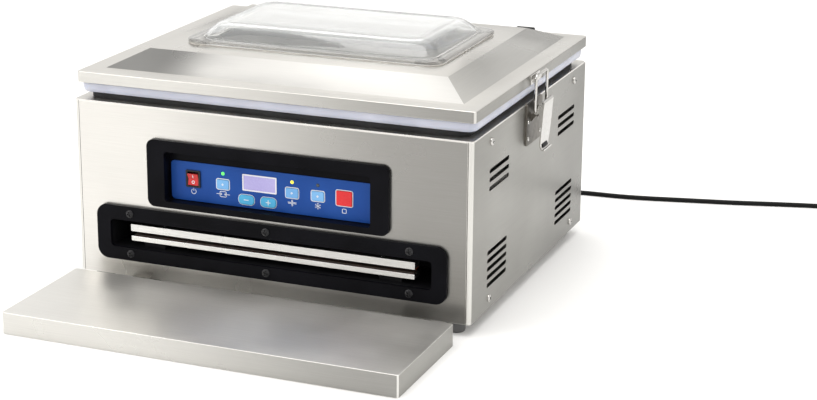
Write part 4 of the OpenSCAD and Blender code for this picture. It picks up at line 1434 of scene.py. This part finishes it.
FLOOR_HALF = 6
floor_mesh = bpy.data.meshes.new("floor")
floor_mesh.from_pydata(
    [(x * FLOOR_HALF, y * FLOOR_HALF, 0) for x, y in ((-1, -1), (1, -1), (1, 1), (-1, 1))],
    [], [(0, 1, 2, 3)],
)
floor_finish, floor_tree, floor_shader, _ = new_material("pale floor")
floor_shader.inputs["Base Color"].default_value = (0.93, 0.93, 0.93, 1)
floor_shader.inputs["Roughness"].default_value = 0.6
floor_mesh.materials.append(floor_finish)
floor = place_object("floor", floor_mesh)
floor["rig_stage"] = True

def studio_world():
    """White behind the machine, and a soft banded surround for the metal to reflect."""
    world = bpy.data.worlds.new("studio")
    world.use_nodes = True
    tree = world.node_tree
    around = tree.nodes["Background"]
    height = add(tree, "ShaderNodeSeparateXYZ")
    join(tree, add(tree, "ShaderNodeTexCoord").outputs["Generated"], height.inputs["Vector"])
    ramp = add(tree, "ShaderNodeValToRGB")
    join(tree, height.outputs["Z"], ramp.inputs["Fac"])
    bands = ramp.color_ramp.elements
    for element, (at, level) in zip([bands[0], bands[1]], [(0.0, 0.8), (1.0, 1.3)]):
        element.position = at
        element.color = (level, level * 0.99, level * 0.97, 1)
    for at, level in ((0.3, 1.5), (0.46, 0.6), (0.6, 0.7), (0.8, 1.7)):
        element = bands.new(at)
        element.color = (level, level * 0.99, level * 0.97, 1)
    join(tree, ramp.outputs["Color"], around.inputs["Color"])
    around.inputs["Strength"].default_value = 0.8
    behind = add(tree, "ShaderNodeBackground")
    behind.inputs["Color"].default_value = (1, 1, 1, 1)
    either = add(tree, "ShaderNodeMixShader")
    join(tree, add(tree, "ShaderNodeLightPath").outputs["Is Camera Ray"], either.inputs["Fac"])
    join(tree, around.outputs["Background"], either.inputs[1])
    join(tree, behind.outputs["Background"], either.inputs[2])
    join(tree, either.outputs["Shader"], tree.nodes["World Output"].inputs["Surface"])
    bpy.context.scene.world = world


studio_world()


def soft_light(name, place, aim, size, power, colour=(1, 0.985, 0.96)):
    lamp = bpy.data.lights.new(name, "AREA")
    lamp.shape = "RECTANGLE"
    lamp.size, lamp.size_y = size
    lamp.energy = power
    lamp.color = colour
    holder = bpy.data.objects.new(name, lamp)
    turned_to = (Vector(aim) - Vector(place)).to_track_quat("-Z", "Y").to_matrix().to_4x4()
    holder.matrix_world = Matrix.Translation(Vector(place)) @ turned_to
    bpy.context.scene.collection.objects.link(holder)


soft_light("overhead", (0.1, -0.3, 2.2), (0, 0, 0.1), (1.8, 1.6), 26)
soft_light("front_left", (-1.9, -1.9, 1.2), (0, 0, 0.1), (1.4, 1.4), 22)
soft_light("right", (2.2, -0.2, 1.1), (0, 0, 0.1), (1.0, 1.4), 6)
soft_light("behind", (-0.95, 1.45, 1.65), (0, 0, 0.23), (1.5, 0.7), 4)
bpy.context.scene.view_settings.view_transform = "Standard"
print("studio done")

# %% Sizes and finish
low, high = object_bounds()
print("visual box", [round(v, 4) for v in (*low, *high)])
